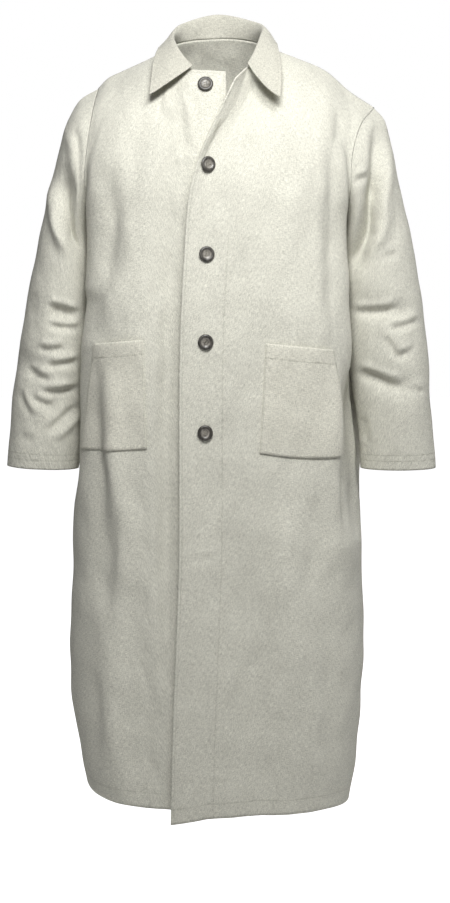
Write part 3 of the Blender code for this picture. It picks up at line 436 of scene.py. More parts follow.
CREASES_RIGHT_FRONT = (
    # (x, z) places along it, half width, depth, ridge beside it
    (((-0.064, -0.205), (-0.071, -0.347), (-0.078, -0.475), (-0.082, -0.652), (-0.081, -0.831),
      (-0.085, -1.063), (-0.093, -1.163)), 0.012, -0.0040, -0.45),
    (((-0.170, -0.485), (-0.167, -0.655), (-0.160, -0.717), (-0.152, -0.777), (-0.154, -0.838),
      (-0.158, -0.921), (-0.161, -0.997)), 0.013, 0.0040, -0.80),
    (((-0.176, -0.181), (-0.168, -0.268), (-0.190, -0.414), (-0.202, -0.485)),
     0.014, -0.0030, 0.40),
    (((-0.048, -0.068), (-0.036, -0.101), (-0.030, -0.173)), 0.007, -0.0034, -0.70),
    (((-0.091, -0.096), (-0.080, -0.137), (-0.083, -0.180)), 0.008, -0.0028, 0.60),
    (((-0.120, -0.110), (-0.132, -0.210), (-0.150, -0.300)), 0.016, -0.0026, 0.50),
    (((-0.045, -0.230), (-0.060, -0.320)), 0.009, -0.0018, -0.50),
    (((-0.100, -0.380), (-0.120, -0.470)), 0.013, -0.0018, 0.50),
    (((-0.130, -0.690), (-0.118, -0.780), (-0.122, -0.870)), 0.012, -0.0024, 0.55),
    (((-0.205, -0.620), (-0.190, -0.700), (-0.196, -0.800)), 0.011, -0.0034, 0.50),
    (((-0.110, -0.960), (-0.108, -1.080), (-0.114, -1.215)), 0.014, -0.0026, -0.50),
    (((-0.200, -1.000), (-0.196, -1.100), (-0.190, -1.200)), 0.013, -0.0032, 0.50),
    (((-0.150, -1.060), (-0.140, -1.130), (-0.142, -1.200)), 0.010, -0.0020, -0.50),
)
CREASES_LEFT_FRONT = (
    (((0.187, -0.147), (0.188, -0.316), (0.187, -0.494)), 0.010, -0.0034, -0.50),
    (((0.174, -0.224), (0.174, -0.332), (0.177, -0.461)), 0.008, -0.0020, -0.50),
    (((0.198, -0.101), (0.198, -0.135), (0.196, -0.170)), 0.007, -0.0022, 0.50),
    (((0.190, -0.494), (0.203, -0.668), (0.208, -0.760), (0.230, -0.797)), 0.014, 0.0042, 0.80),
    (((0.096, -0.110), (0.112, -0.180), (0.118, -0.260)), 0.014, -0.0022, 0.50),
    (((0.060, -0.130), (0.052, -0.200), (0.030, -0.270)), 0.011, -0.0022, -0.50),
    (((0.020, -0.215), (0.030, -0.330), (0.034, -0.450)), 0.012, -0.0016, 0.50),
    (((-0.059, -0.828), (-0.027, -0.827), (0.009, -0.822)), 0.006, -0.0016, 0.70),
    (((-0.085, -1.194), (-0.027, -1.197), (0.035, -1.199)), 0.006, -0.0012, 0.60),
    (((0.150, -0.700), (0.158, -0.810), (0.150, -0.930)), 0.013, -0.0022, -0.50),
    (((0.070, -0.700), (0.080, -0.860), (0.084, -1.020)), 0.015, -0.0020, 0.45),
    (((0.175, -0.960), (0.186, -1.090), (0.190, -1.220)), 0.014, -0.0034, -0.50),
    (((0.012, -0.900), (0.018, -1.050), (0.016, -1.220)), 0.012, -0.0018, 0.45),
    (((-0.047, -0.380), (-0.036, -0.384)), 0.004, -0.0009, 0.60),
    (((-0.052, -0.700), (-0.038, -0.706)), 0.004, -0.0010, 0.60),
)
CREASES_BACK = (
    (((-0.110, -0.080), (-0.120, -0.200), (-0.105, -0.330)), 0.014, -0.0036, 0.50),
    (((0.130, -0.090), (0.124, -0.210), (0.104, -0.340)), 0.014, -0.0036, -0.50),
    (((-0.180, -0.240), (-0.150, -0.300), (-0.100, -0.330)), 0.010, -0.0034, 0.60),
    (((0.185, -0.250), (0.150, -0.305), (0.098, -0.330)), 0.010, -0.0034, -0.60),
    (((-0.040, -0.300), (-0.052, -0.430), (-0.046, -0.600)), 0.013, -0.0030, -0.50),
    (((0.030, -0.260), (0.036, -0.420), (0.026, -0.640)), 0.013, -0.0030, 0.50),
    (((-0.190, -0.520), (-0.180, -0.640), (-0.190, -0.760)), 0.012, -0.0034, 0.50),
    (((0.188, -0.540), (0.180, -0.660), (0.190, -0.780)), 0.012, -0.0034, -0.50),
    (((-0.130, -0.640), (-0.122, -0.820), (-0.132, -1.020)), 0.014, -0.0034, -0.50),
    (((0.112, -0.680), (0.120, -0.860), (0.112, -1.060)), 0.014, -0.0034, 0.50),
    (((0.012, -0.720), (0.020, -0.900), (0.014, -1.120)), 0.012, -0.0030, -0.50),
    (((-0.060, -0.900), (-0.052, -1.060), (-0.058, -1.220)), 0.012, -0.0028, 0.50),
    (((0.200, -0.900), (0.192, -1.040), (0.196, -1.200)), 0.013, -0.0034, -0.50),
    (((-0.215, -0.960), (-0.206, -1.080), (-0.208, -1.200)), 0.013, -0.0034, 0.50),
)
RUMPLES = (
    # waves per metre in x, in z, phase, height
    (7.0, 2.1, 0.4, 0.0011),
    (-9.5, 4.2, 2.1, 0.0008),
    (15.0, -5.5, 4.4, 0.0005),
    (4.0, 11.0, 1.3, 0.0005),
    (-22.0, 13.0, 5.2, 0.00025),
    (31.0, 9.0, 3.3, 0.00020),
)
FOLD_ENDS = (-0.12, 0.25)
CREASE_STEPS = 16
CREASE_ENDS = (0.0, 0.30)
RIDGE_AWAY = 1.7


def fold_height(points, folds):
    """How far the large folds move each point out, from its x and z."""
    moved = np.zeros(points.shape[:-1])
    for x_a, z_a, x_b, z_b, half_width, depth in folds:
        run = np.array([x_b - x_a, z_b - z_a])
        rest = points[..., [0, 2]] - np.array([x_a, z_a])
        length = np.linalg.norm(run)
        place = (rest @ run) / length**2
        aside = np.abs(rest[..., 0] * run[1] - rest[..., 1] * run[0]) / length
        ends = smooth_step(*FOLD_ENDS, place) * smooth_step(*FOLD_ENDS, 1.0 - place)
        moved = moved + depth * ends * np.exp(-((aside / half_width) ** 2))
    return moved


def crease_height(points, creases):
    """How far the hand-placed creases move each point out, from its x and z."""
    flat = points[..., [0, 2]].reshape(-1, 2)
    moved = np.zeros(len(flat))
    everyone = np.arange(len(flat))
    for path, half_width, depth, ridge in creases:
        curve = curve_at(path, np.linspace(0.0, 1.0, CREASE_STEPS + 1))
        run = np.diff(curve, axis=0)
        rest = flat[:, None] - curve[None, :-1]
        share = np.clip((rest * run).sum(axis=-1) / (run**2).sum(axis=-1), 0.0, 1.0)
        gap = rest - share[..., None] * run
        far = np.linalg.norm(gap, axis=-1)
        near = far.argmin(axis=1)
        off = rest[everyone, near]
        side = np.sign(run[near, 0] * off[:, 1] - run[near, 1] * off[:, 0])
        place = (near + share[everyone, near]) / CREASE_STEPS
        reach = far[everyone, near] * side / half_width
        ends = smooth_step(*CREASE_ENDS, place) * smooth_step(*CREASE_ENDS, 1.0 - place)
        beside = abs(ridge) * np.exp(-((reach - math.copysign(RIDGE_AWAY, ridge)) ** 2))
        moved += depth * ends * (np.exp(-(reach**2)) - beside)
    return moved.reshape(points.shape[:-1])


def rumple_height(points, shift):
    """A slow uneven waviness. `shift` makes it different on each piece."""
    moved = np.zeros(points.shape[:-1])
    for per_x, per_z, phase, height in RUMPLES:
        along = points[..., 0] * per_x + points[..., 2] * per_z
        moved += height * np.sin(2.0 * math.pi * along + phase + shift)
    return moved


print("creases placed on the body:",
      len(CREASES_RIGHT_FRONT) + len(CREASES_LEFT_FRONT) + len(CREASES_BACK))

# %% [markdown]
# ## Right front
# The right front lies under the left one. It starts at its own free edge, which only shows
# beside the top button, sinks a little beneath the overlap, and runs to the side seam. Its
# creases fade out at the shoulder and armhole, because a sewn seam holds the cloth there.

# %% Points of the right front at any row and column
RIGHT_EDGE = (
    # rise, x, y, z
    (0.00, 0.0180, -0.1680, -0.285),
    (0.20, 0.0175, -0.1600, -0.235),
    (0.40, 0.0170, -0.1490, -0.185),
    (0.55, 0.0165, -0.1365, -0.147),
    (0.70, 0.0160, -0.1230, -0.111),
    (0.85, 0.0155, -0.1130, -0.075),
    (1.00, 0.0150, -0.1040, -0.047),
)
UNDER_SINK = (
    # height, depth
    (-0.060, 0.004),
    (-0.200, 0.008),
    (-0.340, 0.014),
    (-0.700, 0.014),
    (-1.000, 0.009),
    (-1.253, 0.007),
)
UNDER_REST = 0.0040
UNDER_STARTS = (0.09, 0.22)
UNDER_ENDS = (0.40, 0.25)
ARM_HELD = (0.88, 0.99)
ARM_HELD_ROWS = (13.0, RISE_ROWS)
TOP_HELD_ROWS = 1.2
EASED_ROWS = 0.9
EASED_PASSES = 60
COVERED_SHARES = (0.16, 0.24)
COVERED_ROWS = (3.0, 7.0)


def split_rows(rows):
    """(rises, heights) of the rows above and below the underarm."""
    rises = 1.0 - rows[rows < RISE_ROWS] / RISE_ROWS
    heights = rows_of(ROW_HEIGHTS, rows[rows >= RISE_ROWS] - RISE_ROWS)
    return rises, heights


def seam_hold(lean, rows):
    """1 where the armhole and the shoulder seam hold the cloth, 0 away from them."""
    arm = smooth_step(*ARM_HELD, lean)[None, :] * smooth_step(*ARM_HELD_ROWS, rows)[:, None]
    top = smooth_step(TOP_HELD_ROWS, 0.0, rows)[:, None]
    return np.maximum(arm, top)


def relaxed(grid, weight, passes):
    """Draws every row towards the middle of its neighbours, at most half way in a pass."""
    for _ in range(passes):
        inner = grid[1:-1]
        middle = (grid[:-2] + grid[2:]) / 2.0
        grid[1:-1] = inner + (middle - inner) * (weight[1:-1] / 2.0)
    return grid


def eased(grid, rows, lean):
    """Takes the edge off the level where the chest ring meets the columns above it."""
    near = np.exp(-(((rows - RISE_ROWS) / EASED_ROWS) ** 2))[:, None]
    weight = near * smooth_step(1.0, 0.85, lean)[None, :]
    return relaxed(grid, weight[..., None], EASED_PASSES)


def sink_right_front(grid, shares):
    """Lays the part beneath the overlap a little deeper."""
    table = np.asarray(UNDER_SINK)[::-1]
    deep = np.interp(grid[..., 2], table[:, 0], table[:, 1])
    towards = smooth_step(*UNDER_STARTS, shares)[None, :]
    depth = UNDER_REST + (np.maximum(deep, UNDER_REST) - UNDER_REST) * towards
    grid[..., 1] += depth * smooth_step(*UNDER_ENDS, shares)[None, :]
    return grid


def right_front(columns, rows):
    """Columns run from 0 at the front edge to the side, rows from 0 at the shoulder."""
    last = len(RIGHT_COLUMNS) - 1
    shares = rows_of(RIGHT_COLUMNS, columns)
    rises, heights = split_rows(rows)
    pocket = (RIGHT_COLUMNS[RIGHT_POCKET_COLUMNS[0]], RIGHT_COLUMNS[RIGHT_POCKET_COLUMNS[1]])
    grid = lower_grid(-1.0, shares, heights, HEM_FRONT_RIGHT, RIGHT_POCKET_SHIFT, pocket)
    lean = columns / last
    if len(rises):
        chest = lower_grid(-1.0, shares, [UNDERARM_HEIGHT], HEM_FRONT_RIGHT)[0]
        top = front_top(RIGHT_NECKLINE, RIGHT_SHOULDER, columns, last)
        upper = rising(chest, top, rises, lean, 1.0)
        upper = drawn_to(upper, curve_at(RIGHT_ARMHOLE_FRONT, rises), -1, lean**3)
        edge = np.asarray(RIGHT_EDGE)
        upper = drawn_to(upper, through(edge[:, 0], edge[:, 1:], rises), 0, (1.0 - lean) ** 4)
        grid = eased(np.concatenate([upper, grid]), rows, lean)
    grid = sink_right_front(grid, shares)
    fine = crease_height(grid, CREASES_RIGHT_FRONT) + rumple_height(grid, 0.0)
    covered = smooth_step(*COVERED_ROWS, rows)[:, None]
    shown = covered * smooth_step(*COVERED_SHARES, shares)[None, :] + 1.0 - covered
    height = fold_height(grid, FOLDS_FRONT) + fine * shown
    height = height * (1.0 - seam_hold(lean, rows))
    return grid + outward(grid) * height[..., None]


RIGHT_FINE = 92
UPPER_FINE = 80
LOWER_FINE = 220
right_columns = np.linspace(0.0, len(RIGHT_COLUMNS) - 1, RIGHT_FINE)
body_rows = np.concatenate([
    np.linspace(0.0, RISE_ROWS, UPPER_FINE, endpoint=False),
    np.linspace(RISE_ROWS, LAST_ROW, LOWER_FINE),
])
right_points = right_front(right_columns, body_rows)
print("right front:", right_points.shape)

# %% [markdown]
# ## Left front
# The left front laps over the right one with a strip about 45 mm wide, from the line of the
# buttons to its free edge. The top button is undone, so near the neck the strip stands forward
# and turns back along a soft roll, which is smoothed here so that it doesn't look like a knife
# pleat. Beneath the arm the side of the coat is pushed in, and it stands out again behind the
# arm, so a dark hollow shows between the front and the cuff.

# %% Points of the left front at any row and column
STRIP_UPPER = (
    # rise, valley_x, valley_y, valley_z, edge_x, edge_y, edge_z
    (0.00, -0.0165, -0.1680, -0.285, -0.0488, -0.1680, -0.285),
    (0.20, -0.0165, -0.1630, -0.235, -0.0430, -0.1660, -0.238),
    (0.40, -0.0170, -0.1540, -0.185, -0.0290, -0.1640, -0.188),
    (0.55, 0.0000, -0.1410, -0.147, -0.0165, -0.1600, -0.158),
    (0.70, 0.0225, -0.1260, -0.111, -0.0005, -0.1500, -0.122),
    (0.85, 0.0390, -0.1100, -0.075, 0.0155, -0.1420, -0.090),
    (1.00, 0.0490, -0.0900, -0.040, 0.0309, -0.1300, -0.060),
)
STRIP_LOWER = (
    # height, edge_x, proud
    (-0.285, -0.0488, 0.0015),
    (-0.430, -0.0568, 0.0030),
    (-0.860, -0.0620, 0.0030),
    (-1.140, -0.0730, 0.0030),
    (-1.263, -0.0757, 0.0030),
)
STRIP_BELLY = 0.002
STRIP_CREASES = 0.35
STRIP_ENDS = (-1.0, 0.6)
ROLL_COLUMNS = 0.7
ROLL_ROWS = (9.0, 6.0)
ROLL_PASSES = 5
SIDE_HOLLOW = (
    # height, depth, out_behind
    (-0.440, 0.000, 0.000),
    (-0.530, 0.005, 0.010),
    (-0.590, 0.026, 0.018),
    (-0.690, 0.028, 0.017),
    (-0.760, 0.020, 0.006),
    (-0.815, 0.000, 0.000),
)
HOLLOW_MIDDLE = -0.092
BEHIND_MIDDLE = 0.062
HOLLOW_HALF = 0.042
HOLLOW_POWER = 4
HOLLOW_DEEPER = 1.15
LEFT_SIDE = (0.12, 0.17)


def strip_edge(heights):
    """The free edge of the left front below the underarm, at each height of the button line."""
    table = np.asarray(STRIP_LOWER)[::-1]
    x = through(table[:, 0], table[:, 1], heights)
    proud = np.interp(heights, table[:, 0], table[:, 2])
    points = body_point(share_at(x, heights), heights, False)
    points[:, 1] -= proud
    points[:, 2] += hem_rise(np.full(len(heights), -0.25), heights, HEM_FRONT_LEFT)
    return points


def hollow_side(grid):
    """Pushes the left side in beneath the arm and lets it stand out behind the arm."""
    table = np.asarray(SIDE_HOLLOW)[::-1]
    on_left = smooth_step(*LEFT_SIDE, grid[..., 0])
    deep = through(table[:, 0], table[:, 1], grid[..., 2]) * on_left
    out = through(table[:, 0], table[:, 2], grid[..., 2]) * on_left
    from_middle = np.abs(grid[..., 1] - HOLLOW_MIDDLE) / HOLLOW_HALF
    grid[..., 0] -= deep * HOLLOW_DEEPER * np.exp(-(from_middle**HOLLOW_POWER))
    grid[..., 0] += out * np.exp(-(((grid[..., 1] - BEHIND_MIDDLE) / HOLLOW_HALF) ** 2))
    return grid


def rolled(grid, columns, rows):
    """Softens the turn between the strip and the panel where the top button is undone."""
    near = np.exp(-((columns / ROLL_COLUMNS) ** 2))
    weight = near[:, None] * smooth_step(*ROLL_ROWS, rows)[None, :]
    turned = relaxed(np.swapaxes(grid, 0, 1), weight[..., None], ROLL_PASSES)
    return np.swapaxes(turned, 0, 1)


def left_front(columns, rows):
    """Columns run from -3 at the free edge over 0, the button line, to the side."""
    last = len(LEFT_COLUMNS) - 1
    main_columns = columns[columns >= 0.0]
    shares = rows_of(LEFT_COLUMNS, main_columns)
    rises, heights = split_rows(rows)
    pocket = (LEFT_COLUMNS[LEFT_POCKET_COLUMNS[0]], LEFT_COLUMNS[LEFT_POCKET_COLUMNS[1]])
    grid = lower_grid(1.0, shares, heights, HEM_FRONT_LEFT, LEFT_POCKET_SHIFT, pocket)
    strip = np.asarray(STRIP_UPPER)
    free = strip_edge(grid[:, 0, 2])
    lean = main_columns / last
    if len(rises):
        chest = lower_grid(1.0, shares, [UNDERARM_HEIGHT], HEM_FRONT_LEFT)[0]
        top = front_top(LEFT_NECKLINE, LEFT_SHOULDER, main_columns, last)
        upper = rising(chest, top, rises, lean, 1.0)
        upper = drawn_to(upper, curve_at(LEFT_ARMHOLE_FRONT, rises), -1, lean**3)
        valley = through(strip[:, 0], strip[:, 1:4], rises)
        upper = drawn_to(upper, valley, 0, (1.0 - lean) ** 4)
        grid = eased(np.concatenate([upper, grid]), rows, lean)
        free = np.concatenate([through(strip[:, 0], strip[:, 4:7], rises), free])
    grid = hollow_side(grid)
    strip_columns = columns[columns < 0.0]
    if len(strip_columns):
        share = (strip_columns[None, :, None] + STRIP_COLUMNS) / STRIP_COLUMNS
        lap = free[:, None] + (grid[:, :1] - free[:, None]) * share
        lap[..., 1] -= np.sin(share[..., 0] * math.pi) * STRIP_BELLY
        grid = rolled(np.concatenate([lap, grid], axis=1), columns, rows)
    fine = crease_height(grid, CREASES_LEFT_FRONT) + rumple_height(grid, 1.9)
    shown = STRIP_CREASES + (1.0 - STRIP_CREASES) * smooth_step(*STRIP_ENDS, columns)[None, :]
    height = fold_height(grid, FOLDS_FRONT) + fine * shown
    height = height * (1.0 - seam_hold(np.clip(columns / last, 0.0, 1.0), rows))
    return grid - outward(grid) * height[..., None]


STRIP_FINE = 18
LEFT_FINE = 86
left_columns = np.concatenate([
    np.linspace(-STRIP_COLUMNS, 0.0, STRIP_FINE, endpoint=False),
    np.linspace(0.0, len(LEFT_COLUMNS) - 1, LEFT_FINE),
])
left_points = left_front(left_columns, body_rows)
print("left front:", left_points.shape)

# %% [markdown]
# ## Back
# The back is one piece from side seam to side seam. It isn't seen in a front view, so its
# creases are made up in the same manner: two that run in from the armholes, a few long ones that
# fall from the shoulder blades, and more towards the hem. At the side seams it follows the
# fronts' edges exactly, and the difference fades out over the next few centimetres.

# %% Points of the back at any row and column
RIGHT_NECK_END = len(RIGHT_NECKLINE) - 1
LEFT_NECK_END = len(LEFT_NECKLINE) - 1
BACK_SHARES = np.concatenate([
    -np.asarray(RIGHT_COLUMNS[RIGHT_NECK_END:])[::-1],
    BACK_NECK_COLUMNS,
    np.asarray(LEFT_COLUMNS[LEFT_NECK_END:]),
])
BACK_RIGHT_COLUMNS = 8
BACK_LEFT_START = 15
BACK_MIDDLE = (11, 12)
BACK_RUMPLE = 1.4
BACK_FINE = 150
SEAM_SHARE_FADE = 2.5


def back_panel(columns, rows, right_edge, left_edge):
    """Columns run from 0 at the right side seam to the left one. The edges are the fronts'."""
    last = len(BACK_SHARES) - 1
    fine_shares = rows_of(BACK_SHARES, columns)
    rises, heights = split_rows(rows)
    lower = lower_grid(1.0, fine_shares, heights, HEM_BACK, is_back=True)
    chest = lower_grid(1.0, fine_shares, [UNDERARM_HEIGHT], HEM_BACK, is_back=True)[0]
    right = curve_at(RIGHT_SHOULDER, np.clip(1.0 - columns / BACK_RIGHT_COLUMNS, 0.0, 1.0))
    neck = rows_of(BACK_NECKLINE, columns - BACK_RIGHT_COLUMNS)
    left_share = (columns - BACK_LEFT_START) / (last - BACK_LEFT_START)
    left = curve_at(LEFT_SHOULDER, np.clip(left_share, 0.0, 1.0))
    is_right = (columns <= BACK_RIGHT_COLUMNS)[:, None]
    is_left = (columns >= BACK_LEFT_START)[:, None]
    top = np.where(is_right, right, np.where(is_left, left, neck))
    lean_right = np.clip((BACK_MIDDLE[0] - columns) / BACK_MIDDLE[0], 0.0, 1.0)
    lean_left = np.clip((columns - BACK_MIDDLE[1]) / (last - BACK_MIDDLE[1]), 0.0, 1.0)
    lean = np.maximum(lean_right, lean_left)
    upper = rising(chest, top, rises, lean, -1.0)
    upper = drawn_to(upper, curve_at(RIGHT_ARMHOLE_BACK, rises), 0, lean_right**3)
    upper = drawn_to(upper, curve_at(LEFT_ARMHOLE_BACK, rises), -1, lean_left**3)
    grid = hollow_side(eased(np.concatenate([upper, lower]), rows, lean))
    height = fold_height(grid, FOLDS_BACK) + crease_height(grid, CREASES_BACK)
    height = height + rumple_height(grid, 3.1) * BACK_RUMPLE
    hold = np.maximum(seam_hold(lean_right, rows), seam_hold(lean_left, rows))
    grid = grid + outward(grid) * (height * (1.0 - hold))[..., None]
    below = rows >= RISE_ROWS
    grid[below] = drawn_to(
        grid[below], right_edge[below], 0, smooth_step(SEAM_SHARE_FADE, 0.0, columns)
    )
    grid[below] = drawn_to(
        grid[below], left_edge[below], -1, smooth_step(last - SEAM_SHARE_FADE, last, columns)
    )
    return grid


back_columns = np.linspace(0.0, len(BACK_SHARES) - 1, BACK_FINE)
back_points = back_panel(back_columns, body_rows, right_points[:, -1], left_points[:, -1])
print("back:", back_points.shape)

# %% [markdown]
# ## Sleeves
# A sleeve is a tube that starts as the armhole and turns into plain slanting rings, each with
# an outer point, an inner point and a half depth. The cloth piles up at the bend of the elbow
# in short level breaks, and a long crease runs down from the shoulder towards the armpit.
# There it deepens into a tuck that is pushed straight back instead of inward. The back of each
# sleeve has its own set.

# %% Points of the sleeves and their creases
RIGHT_SLEEVE_RINGS = (
    # outer_x, outer_z, inner_x, inner_z, half_depth, middle_y
    (-0.1970, -0.068, -0.2025, -0.285, 0.090, 0.004),
    (-0.2275, -0.0865, -0.2045, -0.300, 0.091, 0.004),
    (-0.2475, -0.118, -0.2060, -0.314, 0.089, 0.003),
    (-0.2610, -0.163, -0.2068, -0.334, 0.086, 0.002),
    (-0.2730, -0.212, -0.2075, -0.358, 0.083, 0.000),
    (-0.2860, -0.268, -0.2080, -0.388, 0.080, -0.002),
    (-0.2990, -0.325, -0.2085, -0.420, 0.078, -0.004),
    (-0.3110, -0.380, -0.2095, -0.455, 0.076, -0.006),
    (-0.3195, -0.430, -0.2110, -0.490, 0.074, -0.008),
    (-0.3270, -0.480, -0.2140, -0.530, 0.071, -0.011),
    (-0.3355, -0.535, -0.2180, -0.570, 0.067, -0.014),
    (-0.3440, -0.590, -0.2240, -0.613, 0.062, -0.017),
    (-0.3495, -0.645, -0.2265, -0.657, 0.056, -0.020),
    (-0.3540, -0.694, -0.2325, -0.699, 0.050, -0.022),
)
LEFT_SLEEVE_RINGS = (
    (0.2620, -0.100, 0.2025, -0.285, 0.090, 0.004),
    (0.2770, -0.1165, 0.2045, -0.300, 0.090, 0.004),
    (0.2850, -0.146, 0.2060, -0.316, 0.088, 0.003),
    (0.2945, -0.185, 0.2068, -0.338, 0.085, 0.002),
    (0.3032, -0.225, 0.2075, -0.362, 0.082, 0.000),
    (0.3150, -0.275, 0.2085, -0.392, 0.079, -0.002),
    (0.3268, -0.328, 0.2095, -0.424, 0.077, -0.004),
    (0.3375, -0.382, 0.2110, -0.458, 0.075, -0.006),
    (0.3455, -0.432, 0.2130, -0.492, 0.073, -0.008),
    (0.3510, -0.482, 0.2200, -0.532, 0.070, -0.011),
    (0.3560, -0.537, 0.2270, -0.572, 0.066, -0.014),
    (0.3595, -0.590, 0.2345, -0.614, 0.061, -0.017),
    (0.3640, -0.646, 0.2390, -0.657, 0.055, -0.020),
    (0.3665, -0.698, 0.2410, -0.6985, 0.049, -0.022),
)
SLEEVE_BLEND_RINGS = 4.0
CREASES_SLEEVE_RIGHT = (
    (((-0.238, -0.125), (-0.226, -0.155), (-0.220, -0.212), (-0.218, -0.252)),
     0.009, -0.0050, -0.60),
    (((-0.252, -0.212), (-0.255, -0.251), (-0.249, -0.286), (-0.236, -0.312), (-0.220, -0.340)),
     0.010, -0.0095, -0.70),
    (((-0.275, -0.240), (-0.272, -0.300), (-0.262, -0.360)), 0.011, -0.0024, 0.50),
    (((-0.282, -0.425), (-0.252, -0.432), (-0.226, -0.442)), 0.0065, -0.0046, 0.80),
    (((-0.282, -0.456), (-0.250, -0.462), (-0.222, -0.462)), 0.0060, -0.0042, 0.80),
    (((-0.300, -0.494), (-0.272, -0.497), (-0.246, -0.493)), 0.0060, -0.0040, 0.80),
    (((-0.284, -0.524), (-0.252, -0.521), (-0.222, -0.517)), 0.0065, -0.0044, 0.80),
    (((-0.322, -0.527), (-0.296, -0.540), (-0.270, -0.549)), 0.0065, -0.0042, 0.80),
    (((-0.296, -0.566), (-0.258, -0.567), (-0.222, -0.563)), 0.0065, -0.0044, 0.80),
    (((-0.329, -0.562), (-0.318, -0.590), (-0.302, -0.612)), 0.0060, -0.0036, 0.70),
    (((-0.308, -0.574), (-0.290, -0.584), (-0.270, -0.593)), 0.0055, -0.0034, 0.70),
    (((-0.219, -0.586), (-0.248, -0.608), (-0.284, -0.640)), 0.0080, -0.0062, 0.80),
    (((-0.300, -0.400), (-0.306, -0.450)), 0.010, -0.0024, -0.50),
    (((-0.330, -0.640), (-0.300, -0.652)), 0.009, -0.0018, 0.50),
)
CREASES_SLEEVE_LEFT = (
    (((0.262, -0.101), (0.265, -0.136), (0.264, -0.170), (0.260, -0.223), (0.253, -0.252),
      (0.249, -0.304), (0.234, -0.325), (0.220, -0.365)), 0.011, -0.0095, 0.60),
    (((0.216, -0.222), (0.232, -0.219), (0.252, -0.212)), 0.0060, -0.0034, 0.70),
    (((0.270, -0.341), (0.284, -0.344), (0.300, -0.341)), 0.0070, -0.0020, 0.60),
    (((0.218, -0.436), (0.250, -0.436), (0.279, -0.433), (0.304, -0.427)), 0.0070, -0.0046, 0.70),
    (((0.280, -0.462), (0.312, -0.458), (0.342, -0.446)), 0.0065, -0.0036, 0.70),
    (((0.266, -0.466), (0.284, -0.490), (0.298, -0.507), (0.314, -0.503), (0.334, -0.490)),
     0.0065, -0.0036, 0.70),
    (((0.226, -0.534), (0.266, -0.547), (0.308, -0.563)), 0.0080, -0.0056, 0.80),
    (((0.244, -0.606), (0.246, -0.655)), 0.0070, -0.0030, 0.50),
    (((0.320, -0.560), (0.344, -0.572)), 0.0070, -0.0024, 0.60),
    (((0.300, -0.240), (0.296, -0.300), (0.286, -0.350)), 0.011, -0.0020, -0.50),
)
CREASES_SLEEVE_BACKS = (
    # written for the left sleeve; the right one mirrors them
    (((0.250, -0.150), (0.240, -0.220), (0.226, -0.300)), 0.010, -0.0046, 0.60),
    (((0.225, -0.420), (0.262, -0.430), (0.300, -0.425)), 0.0080, -0.0034, -0.60),
    (((0.230, -0.500), (0.268, -0.514), (0.312, -0.512)), 0.0080, -0.0036, -0.60),
    (((0.250, -0.580), (0.290, -0.596), (0.330, -0.590)), 0.0080, -0.0030, -0.60),
    (((0.300, -0.300), (0.306, -0.380)), 0.012, -0.0024, 0.50),
)
TUCK_RIGHT = (
    # the third number is how far the cloth is pushed back
    (((-0.252, -0.185), (-0.249, -0.235), (-0.240, -0.285), (-0.227, -0.330), (-0.208, -0.370)),
     0.012, 0.013, 0.0),
)
TUCK_LEFT = (
    (((0.262, -0.175), (0.257, -0.235), (0.247, -0.290), (0.233, -0.335), (0.215, -0.372),
      (0.200, -0.402)), 0.013, 0.018, 0.0),
)
SLEEVE_FINE = (124, 176)
SLEEVE_CREASE_DEEPER = 1.2
SLEEVE_RUMPLE = 0.8
SLEEVE_FREE_RINGS = 1.2


def mirrored(creases):
    """The same creases on the other side of the coat, their ridges turned with them."""
    return tuple(
        (tuple((-x, z) for x, z in path), half_width, depth, -ridge if flips(path) else ridge)
        for path, half_width, depth, ridge in creases
    )


def flips(path):
    """True for a path that runs mostly down, whose sides change places in a mirror."""
    return abs(path[-1][1] - path[0][1]) > abs(path[-1][0] - path[0][0])


def sleeve_tube(rings, armhole_front, armhole_back, folds, creases, back_creases, tucks, side):
    """Rings from the armhole to the cuff. Each starts at the underarm and runs over the front,
    the shoulder side and the back."""
    share = np.linspace(0.0, 1.0, SLEEVE_FINE[0])
    ring = np.linspace(0.0, len(rings) - 1, SLEEVE_FINE[1])
    on_front = curve_at(armhole_front, np.clip(2.0 * share, 0.0, 1.0))
    on_back = curve_at(armhole_back, np.clip(2.0 - 2.0 * share, 0.0, 1.0))
    armhole = np.where((share <= 0.5)[:, None], on_front, on_back)
    turn = share * 2.0 * math.pi
    front = np.sin(turn)
    table = rows_of(rings, ring)
    outer_x, outer_z, inner_x, inner_z, half_depth, middle_y = (
        table[:, number, None] for number in range(table.shape[1])
    )
    out = (1.0 - np.cos(turn))[None, :] / 2.0
    x = inner_x + (outer_x - inner_x) * out
    z = inner_z + (outer_z - inner_z) * out
    y = middle_y - half_depth * front[None, :]
    grid = np.stack([x, y, z], axis=-1)
    fade = 1.0 - smooth_step(0.0, SLEEVE_BLEND_RINGS, ring)
    grid = grid + (armhole - grid[0])[None] * fade[:, None, None]
    ahead = np.sqrt(np.clip(front, 0.0, 1.0))
    behind = np.sqrt(np.clip(-front, 0.0, 1.0))
    free = smooth_step(0.0, SLEEVE_FREE_RINGS, ring)[:, None]
    plain = fold_height(grid, folds) * ahead * (1.0 - fade)[:, None]
    fine = crease_height(grid, creases) * ahead * SLEEVE_CREASE_DEEPER
    fine = fine + crease_height(grid, back_creases) * behind
    fine = fine + rumple_height(grid, side * 2.0) * SLEEVE_RUMPLE * out
    tuck = crease_height(grid, tucks) * ahead * SLEEVE_CREASE_DEEPER * free
    grid = grid - outward(grid) * side * (plain + fine * free)[..., None]
    grid[..., 1] += tuck
    return grid


